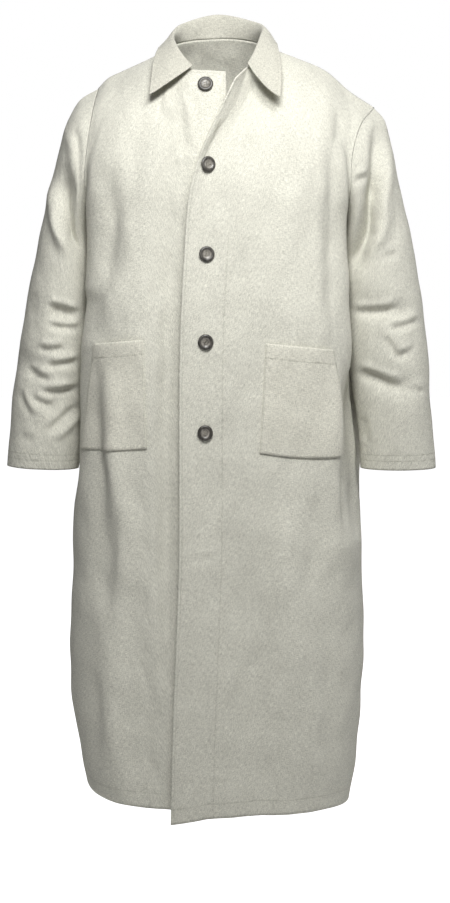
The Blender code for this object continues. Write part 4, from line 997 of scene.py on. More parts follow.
sleeve_right_points = sleeve_tube(
    RIGHT_SLEEVE_RINGS, RIGHT_ARMHOLE_FRONT, RIGHT_ARMHOLE_BACK, FOLDS_SLEEVE_RIGHT,
    CREASES_SLEEVE_RIGHT, mirrored(CREASES_SLEEVE_BACKS), TUCK_RIGHT, -1.0,
)
sleeve_left_points = sleeve_tube(
    LEFT_SLEEVE_RINGS, LEFT_ARMHOLE_FRONT, LEFT_ARMHOLE_BACK, FOLDS_SLEEVE_LEFT,
    CREASES_SLEEVE_LEFT, CREASES_SLEEVE_BACKS, TUCK_LEFT, 1.0,
)
print("sleeves:", sleeve_right_points.shape, sleeve_left_points.shape)

# %% [markdown]
# ## Collar
# The collar rises from the neckline, turns over its crest and falls onto the shoulders, with a
# pointed leaf on each side. It doesn't lie flat: the leaves stand off the fronts by a few
# millimetres, which gives the soft dark line under them.

# %% Points of the collar
COLLAR_STATIONS = (
    # round, crest_x, crest_y, crest_z, edge_x, edge_y, edge_z
    (0.00, -0.0390, -0.1010, -0.0370, -0.1080, -0.1260, -0.0840),
    (0.08, -0.0500, -0.0880, -0.0255, -0.1070, -0.1080, -0.0640),
    (0.17, -0.0620, -0.0640, -0.0090, -0.1040, -0.0760, -0.0330),
    (0.26, -0.0700, -0.0320, 0.0080, -0.0980, -0.0360, -0.0080),
    (0.34, -0.0720, 0.0000, 0.0220, -0.0930, 0.0050, 0.0010),
    (0.42, -0.0590, 0.0400, 0.0400, -0.0760, 0.0620, 0.0030),
    (0.50, 0.0010, 0.0700, 0.0580, 0.0010, 0.1010, 0.0040),
    (0.58, 0.0620, 0.0420, 0.0440, 0.0790, 0.0620, 0.0060),
    (0.66, 0.0770, 0.0030, 0.0320, 0.0970, 0.0080, 0.0060),
    (0.74, 0.0720, -0.0300, 0.0150, 0.1000, -0.0340, -0.0040),
    (0.83, 0.0650, -0.0580, -0.0040, 0.1040, -0.0700, -0.0290),
    (0.92, 0.0560, -0.0790, -0.0230, 0.1040, -0.1040, -0.0560),
    (1.00, 0.0500, -0.0920, -0.0325, 0.1020, -0.1290, -0.0890),
)
COLLAR_DROOP = (
    # round, drop, forward
    (0.00, 0.003, 0.001),
    (0.08, 0.000, 0.000),
    (0.88, 0.000, 0.000),
    (1.00, 0.008, 0.008),
)
COLLAR_LIFT = 0.0006
CREST_ROUND = 0.016
CREST_FULL_RISE = 0.03
CREST_LEAST = 0.15
FALL_STRAIGHT = 0.9
NECK_STEPS = (40, 60, 40)
COLLAR_AROUND = 160
COLLAR_RISE = 14
COLLAR_FALL = 30
COLLAR_FADE_ROWS = 12
COLLAR_RUMPLE_FINER = 1.6
COLLAR_RUMPLE = 0.7


def neck_curve(count):
    """The neckline from the right notch round the back to the left notch."""
    right = rows_of(RIGHT_NECKLINE, np.linspace(2.0, RIGHT_NECK_END, NECK_STEPS[0]))
    back = rows_of(BACK_NECKLINE, np.linspace(0.0, len(BACK_NECKLINE) - 1, NECK_STEPS[1]))
    left = rows_of(LEFT_NECKLINE, np.linspace(LEFT_NECK_END, 0.0, NECK_STEPS[2]))
    return curve_at(np.concatenate([right, back[1:-1], left]), np.linspace(0.0, 1.0, count))


def collar_points(neck, rise_steps, fall_steps):
    """Rows from the neck seam over the crest to the outer edge."""
    table = np.asarray(COLLAR_STATIONS)
    round_neck = np.linspace(0.0, 1.0, len(neck))
    crest = through(table[:, 0], table[:, 1:4], round_neck)
    edge = through(table[:, 0], table[:, 4:7], round_neck)
    seam = neck + np.array([0.0, 0.0, COLLAR_LIFT])
    away = edge - crest
    away[:, 2] = 0.0
    away = away / np.linalg.norm(away, axis=1)[:, None] * CREST_ROUND
    rise = np.linalg.norm(crest - seam, axis=1)[:, None]
    turn_over = away * np.clip(rise / CREST_FULL_RISE, CREST_LEAST, 1.0)
    rows = [
        hermite(seam, crest - seam, crest, turn_over, step)
        for step in np.linspace(0.0, 1.0, rise_steps + 1)
    ]
    droop = np.asarray(COLLAR_DROOP)
    down = -np.interp(round_neck, droop[:, 0], droop[:, 1])
    ahead = -np.interp(round_neck, droop[:, 0], droop[:, 2])
    sag = np.stack([np.zeros(len(neck)), ahead, down], axis=-1)
    arriving = (edge - crest) * FALL_STRAIGHT
    rows += [
        hermite(crest, away, edge, arriving, step) + sag * math.sin(step * math.pi)
        for step in np.linspace(0.0, 1.0, fall_steps + 1)[1:]
    ]
    return np.asarray(rows)


collar_net = collar_points(neck_curve(COLLAR_AROUND), COLLAR_RISE, COLLAR_FALL)
collar_fall = smooth_step(
    COLLAR_RISE, COLLAR_RISE + COLLAR_FADE_ROWS, np.arange(len(collar_net))
)
collar_rumple = rumple_height(collar_net * COLLAR_RUMPLE_FINER, 0.7) * COLLAR_RUMPLE
collar_net = collar_net + outward(collar_net) * (collar_rumple * collar_fall[:, None])[..., None]
print("collar:", collar_net.shape)

# %% [markdown]
# ## Pockets
# Each pocket is a patch of the same cloth sewn on three sides, with a deep hem along its open
# top. It is read from the front panel's own net and moved outward, so it follows every fold
# beneath it. The opening gapes a little, and the belly is slightly fuller than the panel.

# %% Points of the pockets
POCKET_AWAY = 0.0021
POCKET_GAPE = 0.0035
POCKET_BELLY = 0.0012
POCKET_GAPE_REACH = 0.16
RIGHT_POCKET_SAG = 0.0010
LEFT_POCKET_SAG = 0.0055
POCKET_FINE = (52, 64)


def pocket_patch(panel, columns, side, sag):
    """A patch of a front panel between two columns and the pocket's rows."""
    column = np.linspace(columns[0], columns[1], POCKET_FINE[0])
    row = np.linspace(POCKET_ROWS[0], POCKET_ROWS[1], POCKET_FINE[1])
    grid = panel(column, row)
    across = np.linspace(0.0, 1.0, POCKET_FINE[0])[None, :]
    down = np.linspace(0.0, 1.0, POCKET_FINE[1])[:, None]
    bow = np.sin(across * math.pi) ** 0.7
    gape = POCKET_GAPE * bow * np.exp(-((down / POCKET_GAPE_REACH) ** 2))
    belly = POCKET_BELLY * bow * np.sin(down * math.pi) ** 0.6
    away = POCKET_AWAY + gape + belly
    grid = grid - outward(grid) * (side * away)[..., None]
    grid[..., 2] -= sag * np.sin(across * math.pi) * down**3
    return grid


pocket_right_points = pocket_patch(
    right_front, RIGHT_POCKET_COLUMNS, -1.0, RIGHT_POCKET_SAG
)
pocket_left_points = pocket_patch(left_front, LEFT_POCKET_COLUMNS, 1.0, LEFT_POCKET_SAG)
print("pockets:", pocket_right_points.shape, pocket_left_points.shape)

# %% [markdown]
# ## Node helpers
# Shaders are built from many small nodes. Two short helpers keep that readable: one adds a node
# and fills its sockets with numbers or links, the other does one step of arithmetic.

# %% Helpers that add shader nodes
def add_node(tree, kind, sockets=None, **settings):
    """A node with its settings made and its sockets filled with numbers or links."""
    made = tree.nodes.new(kind)
    for key, value in settings.items():
        setattr(made, key, value)
    for key, value in (sockets or {}).items():
        if isinstance(value, bpy.types.NodeSocket):
            tree.links.new(value, made.inputs[key])
        else:
            made.inputs[key].default_value = value
    return made


def calc(tree, operation, first, second=0.0, third=0.0):
    """One step of arithmetic on sockets or numbers."""
    sockets = {0: first, 1: second}
    if operation == "MULTIPLY_ADD":
        sockets[2] = third
    return add_node(tree, "ShaderNodeMath", sockets, operation=operation).outputs[0]


def new_group(name, inputs, outputs):
    """(group, its input node's sockets, its output node's sockets)"""
    group = bpy.data.node_groups.new(name, "ShaderNodeTree")
    for socket_name, kind in inputs:
        group.interface.new_socket(socket_name, in_out="INPUT", socket_type=kind)
    for socket_name, kind in outputs:
        group.interface.new_socket(socket_name, in_out="OUTPUT", socket_type=kind)
    start = group.nodes.new("NodeGroupInput")
    end = group.nodes.new("NodeGroupOutput")
    return group, start.outputs, end.inputs


def use_group(tree, group, sockets):
    return add_node(tree, "ShaderNodeGroup", sockets, node_tree=group).outputs


print("node helpers ready")

# %% [markdown]
# ## The weave
# The cloth is a plain weave of linen and cotton in two close natural tones. Linen yarn is
# uneven: thick places, called slubs, run along it for a centimetre or so, and they are what the
# eye reads as heather. The group makes long noise along the warp, long noise along the weft and
# a fine speckle, and adds the crossing yarns themselves as a small height. It works in metres
# across the cloth, from the sheet's own map, so the yarn is the same size on every piece.

# %% Node group: linen weave
WARP_SCALE = (900.0, 150.0, 1.0)
WEFT_SCALE = (150.0, 900.0, 1.0)
SPECK_SCALE = (1000.0, 900.0, 1.0)
CLOUD_SCALE = (26.0, 18.0, 1.0)
YARN_PITCH = 0.0011
YARN_TURNS = 2.0 * math.pi / YARN_PITCH
NOISE_ROUGHNESS = 0.55
SPECK_SHARE = 1.3
MIDDLE_TONE = 1.65
TONE_RELIEF = 1.5


def stretched_noise(tree, vector, scale, detail):
    placed = add_node(
        tree, "ShaderNodeVectorMath", {0: vector, 1: scale}, operation="MULTIPLY"
    ).outputs[0]
    noise = add_node(
        tree, "ShaderNodeTexNoise",
        {"Vector": placed, "Scale": 1.0, "Detail": detail, "Roughness": NOISE_ROUGHNESS},
        noise_dimensions="2D",
    )
    return noise.outputs[0]


def make_weave_group():
    group, start, end = new_group(
        "linen_weave",
        [("Place", "NodeSocketVector")],
        [(kind, "NodeSocketFloat") for kind in ("Tone", "Height", "Cloud")],
    )
    warp = stretched_noise(group, start["Place"], WARP_SCALE, 2.0)
    weft = stretched_noise(group, start["Place"], WEFT_SCALE, 2.0)
    speck = stretched_noise(group, start["Place"], SPECK_SCALE, 1.0)
    cloud = stretched_noise(group, start["Place"], CLOUD_SCALE, 3.0)
    total = calc(group, "ADD", warp, weft)
    total = calc(group, "MULTIPLY_ADD", speck, SPECK_SHARE, total)
    tone = calc(group, "SUBTRACT", total, MIDDLE_TONE)
    axes = add_node(group, "ShaderNodeSeparateXYZ", {0: start["Place"]})
    across = calc(group, "SINE", calc(group, "MULTIPLY", axes.outputs[0], YARN_TURNS))
    upward = calc(group, "SINE", calc(group, "MULTIPLY", axes.outputs[1], YARN_TURNS))
    yarns = calc(group, "MULTIPLY", across, upward)
    height = calc(group, "MULTIPLY_ADD", tone, TONE_RELIEF, yarns)
    group.links.new(tone, end["Tone"])
    group.links.new(height, end["Height"])
    group.links.new(cloud, end["Cloud"])
    return group


weave_group = make_weave_group()
print("weave group:", len(weave_group.nodes), "nodes")

# %% [markdown]
# ## Rows of stitching in the cloth
# A row of machine stitching pulls the cloth down into a narrow groove and puckers it on both
# sides. Each sheet carries up to four signed distances to its rows. A distance changes evenly
# across a face, so the groove stays crisp even though it is narrower than the faces are.

# %% Node group: groove and pucker beside a stitch row
GROOVE_HALF = 0.0011
PUCKER_HALF = 0.0075
PUCKER_SCALE = (105.0, 105.0, 1.0)


def bell(tree, value, half_width):
    """A soft bump that is 1 where the value is 0."""
    ratio = calc(tree, "DIVIDE", value, half_width)
    square = calc(tree, "MULTIPLY", ratio, ratio)
    return calc(tree, "EXPONENT", calc(tree, "MULTIPLY", square, -1.0))


def make_row_group():
    group, start, end = new_group(
        "stitch_row",
        [("Away", "NodeSocketFloat"), ("Place", "NodeSocketVector")],
        [("Groove", "NodeSocketFloat"), ("Pucker", "NodeSocketFloat")],
    )
    # The groove's bell also drives the painted shade that darkens the cloth's colour along the
    # row.
    groove = bell(group, start["Away"], GROOVE_HALF)
    near = bell(group, start["Away"], PUCKER_HALF)
    noise = stretched_noise(group, start["Place"], PUCKER_SCALE, 1.0)
    pucker = calc(group, "MULTIPLY", calc(group, "SUBTRACT", noise, 0.5), near)
    group.links.new(groove, end["Groove"])
    group.links.new(pucker, end["Pucker"])
    return group


row_group = make_row_group()
print("stitch row group:", len(row_group.nodes), "nodes")

# %% [markdown]
# ## Cloth material
# The finish is dull: linen scatters light and only has a faint haze of fibre at grazing angles.
# The colour is the natural tone, made lighter and darker by the weave, with painted shade in the
# stitched grooves, and a little paler where edges have been rubbed by wear. All of the small
# relief goes into one height in metres, so its size is honest: a yarn stands a tenth of a
# millimetre proud and the ripples beside a stitched row about one.

# %% Cloth materials for the coat, the pockets and the collar
ROW_NAMES = ("row_a", "row_b", "row_c", "row_d")
TONE_SHARE = 0.70
CLOUD_SHARE = 0.10
# painted shade: how much darker the cloth is painted inside a stitched groove
GROOVE_PAINTED_SHADE = 0.10
RUB_LIGHT = 0.02
ROUGHNESS = 0.88
ROUGHNESS_SHARE = 0.10
SPECULAR = 0.25
SHEEN = 0.12
SHEEN_ROUGHNESS = 0.6
RELIEF_STRENGTH = 0.8
WEAVE_HEIGHT = 0.00010
CRUMPLE_SCALE = (34.0, 24.0, 1.0)
CRUMPLE_HEIGHT = 0.0030
PUCKER_HEIGHT = 0.0014
GROOVE_HEIGHT = 0.00030


def cloth_material(name, tint, groove_share=1.0):
    """`groove_share` is how plainly its stitch rows show, in relief and in painted shade."""
    material = bpy.data.materials.new(name)
    material.use_nodes = True
    tree = material.node_tree
    shader = tree.nodes["Principled BSDF"]
    place = add_node(tree, "ShaderNodeUVMap", uv_map="cloth").outputs[0]
    weave = use_group(tree, weave_group, {"Place": place})
    crumple = stretched_noise(tree, place, CRUMPLE_SCALE, 2.0)
    grooves = 0.0
    puckers = 0.0
    for row in ROW_NAMES:
        away = add_node(tree, "ShaderNodeAttribute", attribute_name=row).outputs["Fac"]
        beside = use_group(tree, row_group, {"Away": away, "Place": place})
        grooves = calc(tree, "ADD", beside["Groove"], grooves)
        puckers = calc(tree, "ADD", beside["Pucker"], puckers)
    rub = add_node(tree, "ShaderNodeAttribute", attribute_name="rub").outputs["Fac"]
    bright = calc(tree, "MULTIPLY_ADD", weave["Tone"], TONE_SHARE, 1.0)
    cloud = calc(tree, "SUBTRACT", weave["Cloud"], 0.5)
    bright = calc(tree, "MULTIPLY_ADD", cloud, CLOUD_SHARE, bright)
    # painted shade: the stitched grooves darken the colour
    bright = calc(tree, "MULTIPLY_ADD", grooves, -GROOVE_PAINTED_SHADE * groove_share, bright)
    bright = calc(tree, "MULTIPLY_ADD", rub, RUB_LIGHT, bright)
    colour = add_node(
        tree, "ShaderNodeVectorMath", {0: tint, "Scale": bright}, operation="SCALE"
    ).outputs[0]
    height = calc(tree, "MULTIPLY", weave["Height"], WEAVE_HEIGHT)
    height = calc(tree, "MULTIPLY_ADD", crumple, CRUMPLE_HEIGHT, height)
    height = calc(tree, "MULTIPLY_ADD", puckers, PUCKER_HEIGHT, height)
    height = calc(tree, "MULTIPLY_ADD", grooves, -GROOVE_HEIGHT * groove_share, height)
    relief = add_node(
        tree, "ShaderNodeBump", {"Height": height, "Distance": 1.0, "Strength": RELIEF_STRENGTH}
    )
    roughness = calc(tree, "MULTIPLY_ADD", weave["Tone"], ROUGHNESS_SHARE, ROUGHNESS)
    tree.links.new(colour, shader.inputs["Base Color"])
    tree.links.new(roughness, shader.inputs["Roughness"])
    tree.links.new(relief.outputs[0], shader.inputs["Normal"])
    shader.inputs["Specular IOR Level"].default_value = SPECULAR
    shader.inputs["Sheen Weight"].default_value = SHEEN
    shader.inputs["Sheen Roughness"].default_value = SHEEN_ROUGHNESS
    return material


coat_cloth = cloth_material("coat_cloth_linen", (0.600, 0.592, 0.520))
# the pockets' tint is the coat's cloth painted a little lighter, as painted light
pocket_cloth = cloth_material("pocket_cloth_linen", (0.612, 0.600, 0.522))
# the collar's tint is the coat's cloth made darker as painted shade, and a little warmer in tone
collar_cloth = cloth_material("collar_cloth_linen", (0.500, 0.490, 0.427), 0.4)
print("cloth materials:", coat_cloth.name, pocket_cloth.name, collar_cloth.name)

# %% [markdown]
# ## From a net of points to a sheet of cloth
# Each sheet starts as a flat grid. Its corners are moved onto the points, its map is laid out in
# metres along the cloth, and the distances to its stitch rows are stored on its points. The
# solidify modifier then gives it thickness on the inside: one layer in the open field, and
# nearly two where the cloth is turned under as a hem or a facing.

# %% Build one sheet
ONE_LAYER = 0.0013
TWO_LAYERS = 0.0023
FAR = 1.0
RUB_REACH = 0.004
THICKNESS_STEPS = 4


def lengths_along(grid, axis):
    """How far each point lies along its row (axis 1) or column (axis 0) of the cloth."""
    steps = np.linalg.norm(np.diff(grid, axis=axis), axis=-1)
    total = np.cumsum(steps, axis=axis)
    pad = [(0, 0), (0, 0)]
    pad[axis] = (1, 0)
    return np.pad(total, pad)


def distance_to(grid, path):
    """How far each point lies from a line of points."""
    flat = grid.reshape(-1, 3)
    best = np.full(len(flat), np.inf)
    start = path[:-1]
    run = path[1:] - start
    size = np.maximum((run**2).sum(axis=-1), 1e-12)
    for begin, way, length in zip(start, run, size):
        rest = flat - begin
        share = np.clip(rest @ way / length, 0.0, 1.0)
        best = np.minimum(best, ((rest - share[:, None] * way) ** 2).sum(axis=-1))
    return np.sqrt(best).reshape(grid.shape[:2])


def linked_thing(name, data, material):
    """An object for some mesh data, in the scene and with its material."""
    data.materials.append(material)
    thing = bpy.data.objects.new(name, data)
    bpy.context.scene.collection.objects.link(thing)
    return thing


def store(data, name, values):
    layer = data.attributes.new(name, "FLOAT", "POINT")
    layer.data.foreach_set("value", np.asarray(values, np.float32).ravel())


def cloth_sheet(name, grid, side, material, rows, doubled, rub, closed=False):
    """A thin sheet on a net of points. `side` is -1 where the net's own normals face outward."""
    row_count, column_count = grid.shape[:2]
    mesh = bmesh.new()
    bmesh.ops.create_grid(
        mesh, x_segments=column_count - 1, y_segments=row_count - 1, size=1.0
    )
    data = bpy.data.meshes.new(name)
    mesh.to_mesh(data)
    mesh.free()
    data.vertices.foreach_set("co", grid.astype(np.float32).ravel())
    corners = np.empty(len(data.loops), int)
    data.loops.foreach_get("vertex_index", corners)
    across = lengths_along(grid, 1)
    across = across - across[:, across.shape[1] // 2][:, None]
    down = lengths_along(grid, 0)
    flat_map = np.stack([across, -down], axis=-1).reshape(-1, 2)[corners]
    layer = data.uv_layers.new(name="cloth")
    layer.data.foreach_set("uv", flat_map.astype(np.float32).ravel())
    for row, values in zip(ROW_NAMES, list(rows) + [np.full(grid.shape[:2], FAR)] * 4):
        store(data, row, values)
    store(data, "rub", rub)
    store(data, "doubled", doubled)
    finished = bmesh.new()
    finished.from_mesh(data)
    if closed:
        bmesh.ops.remove_doubles(finished, verts=finished.verts[:], dist=1e-6)
    bmesh.ops.recalc_face_normals(finished, faces=finished.faces[:])
    finished.faces.ensure_lookup_table()
    middle = finished.faces[len(finished.faces) // 2]
    nearest = np.linalg.norm(grid - np.array(middle.calc_center_median()), axis=-1).argmin()
    facing = -outward(grid).reshape(-1, 3)[nearest] * side
    if middle.normal.dot(Vector(facing)) < 0.0:
        bmesh.ops.reverse_faces(finished, faces=finished.faces[:])
    for face in finished.faces:
        face.smooth = True
    finished.to_mesh(data)
    finished.free()
    thing = linked_thing(name, data, material)
    give_thickness(thing)
    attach(thing, "root")
    return thing


def give_thickness(thing):
    """A wall on the inside of a sheet, thicker where its `doubled` value is 1."""
    data = thing.data
    amount = np.empty(len(data.vertices), np.float32)
    data.attributes["doubled"].data.foreach_get("value", amount)
    group = thing.vertex_groups.new(name="doubled")
    for step in range(THICKNESS_STEPS):
        low, high = step / THICKNESS_STEPS, (step + 1) / THICKNESS_STEPS
        chosen = np.nonzero((amount > low) & (amount <= high))[0]
        group.add([int(number) for number in chosen], high, "REPLACE")
    wall = thing.modifiers.new("wall", "SOLIDIFY")
    wall.thickness = TWO_LAYERS
    wall.offset = -1.0
    wall.vertex_group = "doubled"
    wall.thickness_vertex_group = ONE_LAYER / TWO_LAYERS


def edges_rubbed(grid, paths):
    """Wear along the given edges, strongest at the very edge."""
    rub = np.zeros(grid.shape[:2])
    for path in paths:
        rub = np.maximum(rub, np.exp(-((distance_to(grid, path) / RUB_REACH) ** 2)))
    return rub


print("thickness of one layer and of a hem:", ONE_LAYER, TWO_LAYERS)

# %% [markdown]
# ## Body sheets
# The fronts carry the hem's stitching 25 mm up, the seams at the armhole, shoulder and side, and
# a row close to the free edge. The left one also shows the line that holds its facing, 69 mm
# from the free edge, from the second button down. The back has the hem and the seams.

# %% Fronts and back
HEM_DEEP = 0.025
FACING_DEEP = 0.069
FACING_ROW_TOP = -0.300
EDGE_ROW = 0.0045
SEAM_ROW = 0.0060
FOLD_BLEND = 0.002
PATH_STEPS = 70


def doubled_from(*distances):
    """1 where the cloth is doubled: (distance, depth) pairs from folded edges."""
    total = np.zeros(distances[0][0].shape)
    for away, deep in distances:
        total = np.maximum(total, smooth_step(deep + FOLD_BLEND, deep - FOLD_BLEND, away))
    return total


def edge_path(points):
    """Thins a line of points so that distances to it are quick to measure."""
    steps = np.linspace(0, len(points) - 1, PATH_STEPS).round().astype(int)
    return points[steps]


right_hem = edge_path(right_points[-1])
right_free = edge_path(right_points[:, 0])
right_seams = np.concatenate([
    edge_path(right_points[0, right_columns >= RIGHT_NECK_END])[1:],
    edge_path(right_points[:, -1]),
])
right_neck = edge_path(right_points[0, right_columns <= RIGHT_NECK_END])
left_hem = edge_path(left_points[-1])
left_free = edge_path(left_points[:, 0])
left_seams = np.concatenate([
    edge_path(left_points[0, left_columns >= LEFT_NECK_END]), edge_path(left_points[:, -1]),
])
right_from_hem = distance_to(right_points, right_hem)
right_from_edge = distance_to(right_points, right_free)
right_from_free = np.minimum(right_from_edge, distance_to(right_points, right_neck))
right_from_seam = distance_to(right_points, right_seams)
left_from_hem = distance_to(left_points, left_hem)
left_from_free = distance_to(left_points, left_free)
left_from_seam = distance_to(left_points, left_seams)
left_facing_row = np.where(
    left_points[..., 2] < FACING_ROW_TOP, left_from_free - FACING_DEEP, FAR
)
front_right = cloth_sheet(
    "cloth_front_right", right_points, -1.0, coat_cloth,
    (right_from_hem - HEM_DEEP, right_from_seam, right_from_free - EDGE_ROW),
    doubled_from((right_from_hem, HEM_DEEP), (right_from_edge, FACING_DEEP)),
    edges_rubbed(right_points, [right_hem, right_free]),
)
front_left = cloth_sheet(
    "cloth_front_left", left_points, 1.0, coat_cloth,
    (left_from_hem - HEM_DEEP, left_facing_row, left_from_seam, left_from_free - EDGE_ROW),
    doubled_from((left_from_hem, HEM_DEEP), (left_from_free, FACING_DEEP)),
    edges_rubbed(left_points, [left_hem, left_free]),
)
back_hem = edge_path(back_points[-1])
back_seams = np.concatenate([
    edge_path(back_points[::-1, 0]),
    edge_path(back_points[0, back_columns <= BACK_RIGHT_COLUMNS]),
    edge_path(back_points[0, back_columns >= BACK_LEFT_START]),
    edge_path(back_points[:, -1]),
])
back_from_hem = distance_to(back_points, back_hem)
back_from_seam = distance_to(back_points, back_seams)
back = cloth_sheet(
    "cloth_back", back_points, -1.0, coat_cloth,
    (back_from_hem - HEM_DEEP, back_from_seam),
    doubled_from((back_from_hem, HEM_DEEP)),
    edges_rubbed(back_points, [back_hem]),
)
for piece, node in ((front_right, "front_right"), (front_left, "front_left"), (back, "back")):
    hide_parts(node)
    print(piece.name, len(piece.data.polygons), "faces")

# %% [markdown]
# ## Sleeve, collar and pocket sheets
# A sleeve's cuff has two rows of stitching, 25 mm and 15 mm up. The collar and the pockets have
# a row close to their edges, and each pocket has its deep hem at the top.

# %% Sleeves, collar and pockets
CUFF_DEEP = 0.025
CUFF_SECOND = 0.015
COLLAR_ROW = 0.0055
COLLAR_DOUBLED = 0.6
POCKET_ROW = 0.0022
POCKET_HEM = 0.024
POCKET_TURNED = 0.008


def sleeve_sheet(name, points, side):
    cuff = edge_path(points[-1])
    top = edge_path(points[0])
    seam = edge_path(points[:, 0])
    from_cuff = distance_to(points, cuff)
    return cloth_sheet(
        name, points, side, coat_cloth,
        (from_cuff - CUFF_DEEP, from_cuff - CUFF_SECOND, distance_to(points, top),
         distance_to(points, seam)),
        doubled_from((from_cuff, CUFF_DEEP)), edges_rubbed(points, [cuff]), closed=True,
    )


sleeve_right = sleeve_sheet("cloth_sleeve_right", sleeve_right_points, -1.0)
sleeve_left = sleeve_sheet("cloth_sleeve_left", sleeve_left_points, 1.0)
collar_rim = np.concatenate([
    edge_path(collar_net[COLLAR_RISE:, 0]), edge_path(collar_net[-1]),
    edge_path(collar_net[:COLLAR_RISE:-1, -1]),
])
collar_from_rim = distance_to(collar_net, collar_rim)
collar = cloth_sheet(
    "cloth_collar", collar_net, -1.0, collar_cloth,
    (collar_from_rim - COLLAR_ROW, distance_to(collar_net, edge_path(collar_net[0]))),
    np.full(collar_net.shape[:2], COLLAR_DOUBLED),
    edges_rubbed(collar_net, [collar_rim, edge_path(collar_net[COLLAR_RISE])]),
)


def pocket_sheet(name, points, side):
    rim = np.concatenate([
        edge_path(points[:, 0]), edge_path(points[-1]), edge_path(points[::-1, -1]),
    ])
    from_rim = distance_to(points, rim)
    from_top = distance_to(points, edge_path(points[0]))
    return cloth_sheet(
        name, points, side, pocket_cloth,
        (from_rim - POCKET_ROW, from_top - POCKET_HEM),
        doubled_from((from_top, POCKET_HEM), (from_rim, POCKET_TURNED)),
        edges_rubbed(points, [edge_path(points[0]), rim]),
    )


pocket_right = pocket_sheet("cloth_pocket_right", pocket_right_points, -1.0)
pocket_left = pocket_sheet("cloth_pocket_left", pocket_left_points, 1.0)
for piece, node, slot_name in (
    (sleeve_right, "sleeve_right", "coat_cloth"),
    (sleeve_left, "sleeve_left", "coat_cloth"),
    (collar, "collar", "collar_cloth"),
    (pocket_right, "pocket_right", "pocket_cloth"),
    (pocket_left, "pocket_left", "pocket_cloth"),
):
    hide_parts(node)
    print(piece.name, len(piece.data.polygons), "faces")

# %% [markdown]
# ## Stitches
# The thread itself is a row of small rounded lengths lying in the groove. A sphere stretched
# along the row does for each of them. They are only a few dozen faces each, because there are
# some thousands, and no one sees more than a speck of thread.

# %% Find the rows on the sheets and lay the stitches
STITCH_LONG = 0.0032
STITCH_GAP = 0.0010
THREAD_THICK = 0.00042
STITCH_SIDES = 6
STITCH_RINGS = 4
STITCH_PROUD = 0.25


def row_line(grid, away, distance, axis):
    """(places, normals) where a distance is met, searched along each row (axis 1) or column
    (axis 0) from its first point."""
    normal = outward(grid)
    if axis == 0:
        grid, away, normal = (np.swapaxes(part, 0, 1) for part in (grid, away, normal))
    places = []
    normals = []
    for line, far, way in zip(grid, away, normal):
        crossing = np.nonzero((far[:-1] - distance) * (far[1:] - distance) <= 0.0)[0]
        if len(crossing) == 0:
            continue
        first = crossing[0]
        share = (distance - far[first]) / (far[first + 1] - far[first] + 1e-12)
        places.append(line[first] + (line[first + 1] - line[first]) * share)
        normals.append(way[first])
    return np.array(places), np.array(normals)


def stitch_shape():
    """(corners, faces) of one rounded length of thread, 1 long and 1 thick, along Y."""
    ball = bmesh.new()
    bmesh.ops.create_uvsphere(
        ball, u_segments=STITCH_SIDES, v_segments=STITCH_RINGS, radius=0.5,
        matrix=Matrix.Rotation(QUARTER, 4, "X"),
    )
    ball.verts.index_update()
    corners = np.array([vertex.co for vertex in ball.verts])
    faces = [[vertex.index for vertex in face.verts] for face in ball.faces]
    ball.free()
    return corners, faces


ONE_STITCH = stitch_shape()


def stitch_along(laid, places, normals, side):
    """Lays stitches along a line of places."""
    keys = np.concatenate([[0.0], np.cumsum(np.linalg.norm(np.diff(places, axis=0), axis=1))])
    pitch = STITCH_LONG + STITCH_GAP
    at = np.arange(pitch, keys[-1] - pitch, pitch)
    middle = np.stack([np.interp(at, keys, places[:, axis]) for axis in range(3)], axis=-1)
    normal = np.stack([np.interp(at, keys, normals[:, axis]) for axis in range(3)], axis=-1)
    for place, way, up in zip(middle, np.gradient(middle, axis=0), -normal * side):
        lay_stitch(laid, Vector(place), Vector(way), Vector(up), STITCH_LONG, THREAD_THICK)
    return len(at)


def lay_stitch(laid, place, way, up, long, thick):
    """Notes one rounded length of thread, lying along `way` on a surface that faces `up`."""
    way = way.normalized()
    up = (up - way * up.dot(way)).normalized()
    turn = np.array(Matrix((way.cross(up) * thick, way * long, up * thick)))
    laid.append(ONE_STITCH[0] @ turn + np.array(place + up * thick * STITCH_PROUD))


def thread_object(name, laid, material):
    """One object of all the stitches laid, each a copy of the same shape."""
    corners, faces = ONE_STITCH
    every = [
        [corner + number * len(corners) for corner in face]
        for number in range(len(laid))
        for face in faces
    ]
    data = bpy.data.meshes.new(name)
    data.from_pydata(np.concatenate(laid).tolist(), [], every)
    data.polygons.foreach_set("use_smooth", np.ones(len(every), bool))
    thing = linked_thing(name, data, material)
    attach(thing, "root")
    return thing


TWIST_SCALE = 1800.0
TWIST_SHARE = 0.35
TWIST_DARKEST = 0.82
TWIST_HEIGHT = 0.00012
THREAD_ROUGHNESS = 0.7


def thread_material(name, colour):
    """Spun cotton thread: a fine twist in its colour and height."""
    material = bpy.data.materials.new(name)
    material.use_nodes = True
    tree = material.node_tree
    shader = tree.nodes["Principled BSDF"]
    place = add_node(tree, "ShaderNodeTexCoord").outputs["Object"]
    twist = add_node(
        tree, "ShaderNodeTexNoise", {"Vector": place, "Scale": TWIST_SCALE, "Detail": 1.0}
    ).outputs[0]
    bright = calc(tree, "MULTIPLY_ADD", twist, TWIST_SHARE, TWIST_DARKEST)
    tone = add_node(
        tree, "ShaderNodeVectorMath", {0: colour, "Scale": bright}, operation="SCALE"
    ).outputs[0]
    tree.links.new(tone, shader.inputs["Base Color"])
    height = calc(tree, "MULTIPLY", twist, TWIST_HEIGHT)
    relief = add_node(
        tree, "ShaderNodeBump", {"Height": height, "Distance": 1.0, "Strength": 1.0}
    )
    tree.links.new(relief.outputs[0], shader.inputs["Normal"])
    shader.inputs["Roughness"].default_value = THREAD_ROUGHNESS
    return material


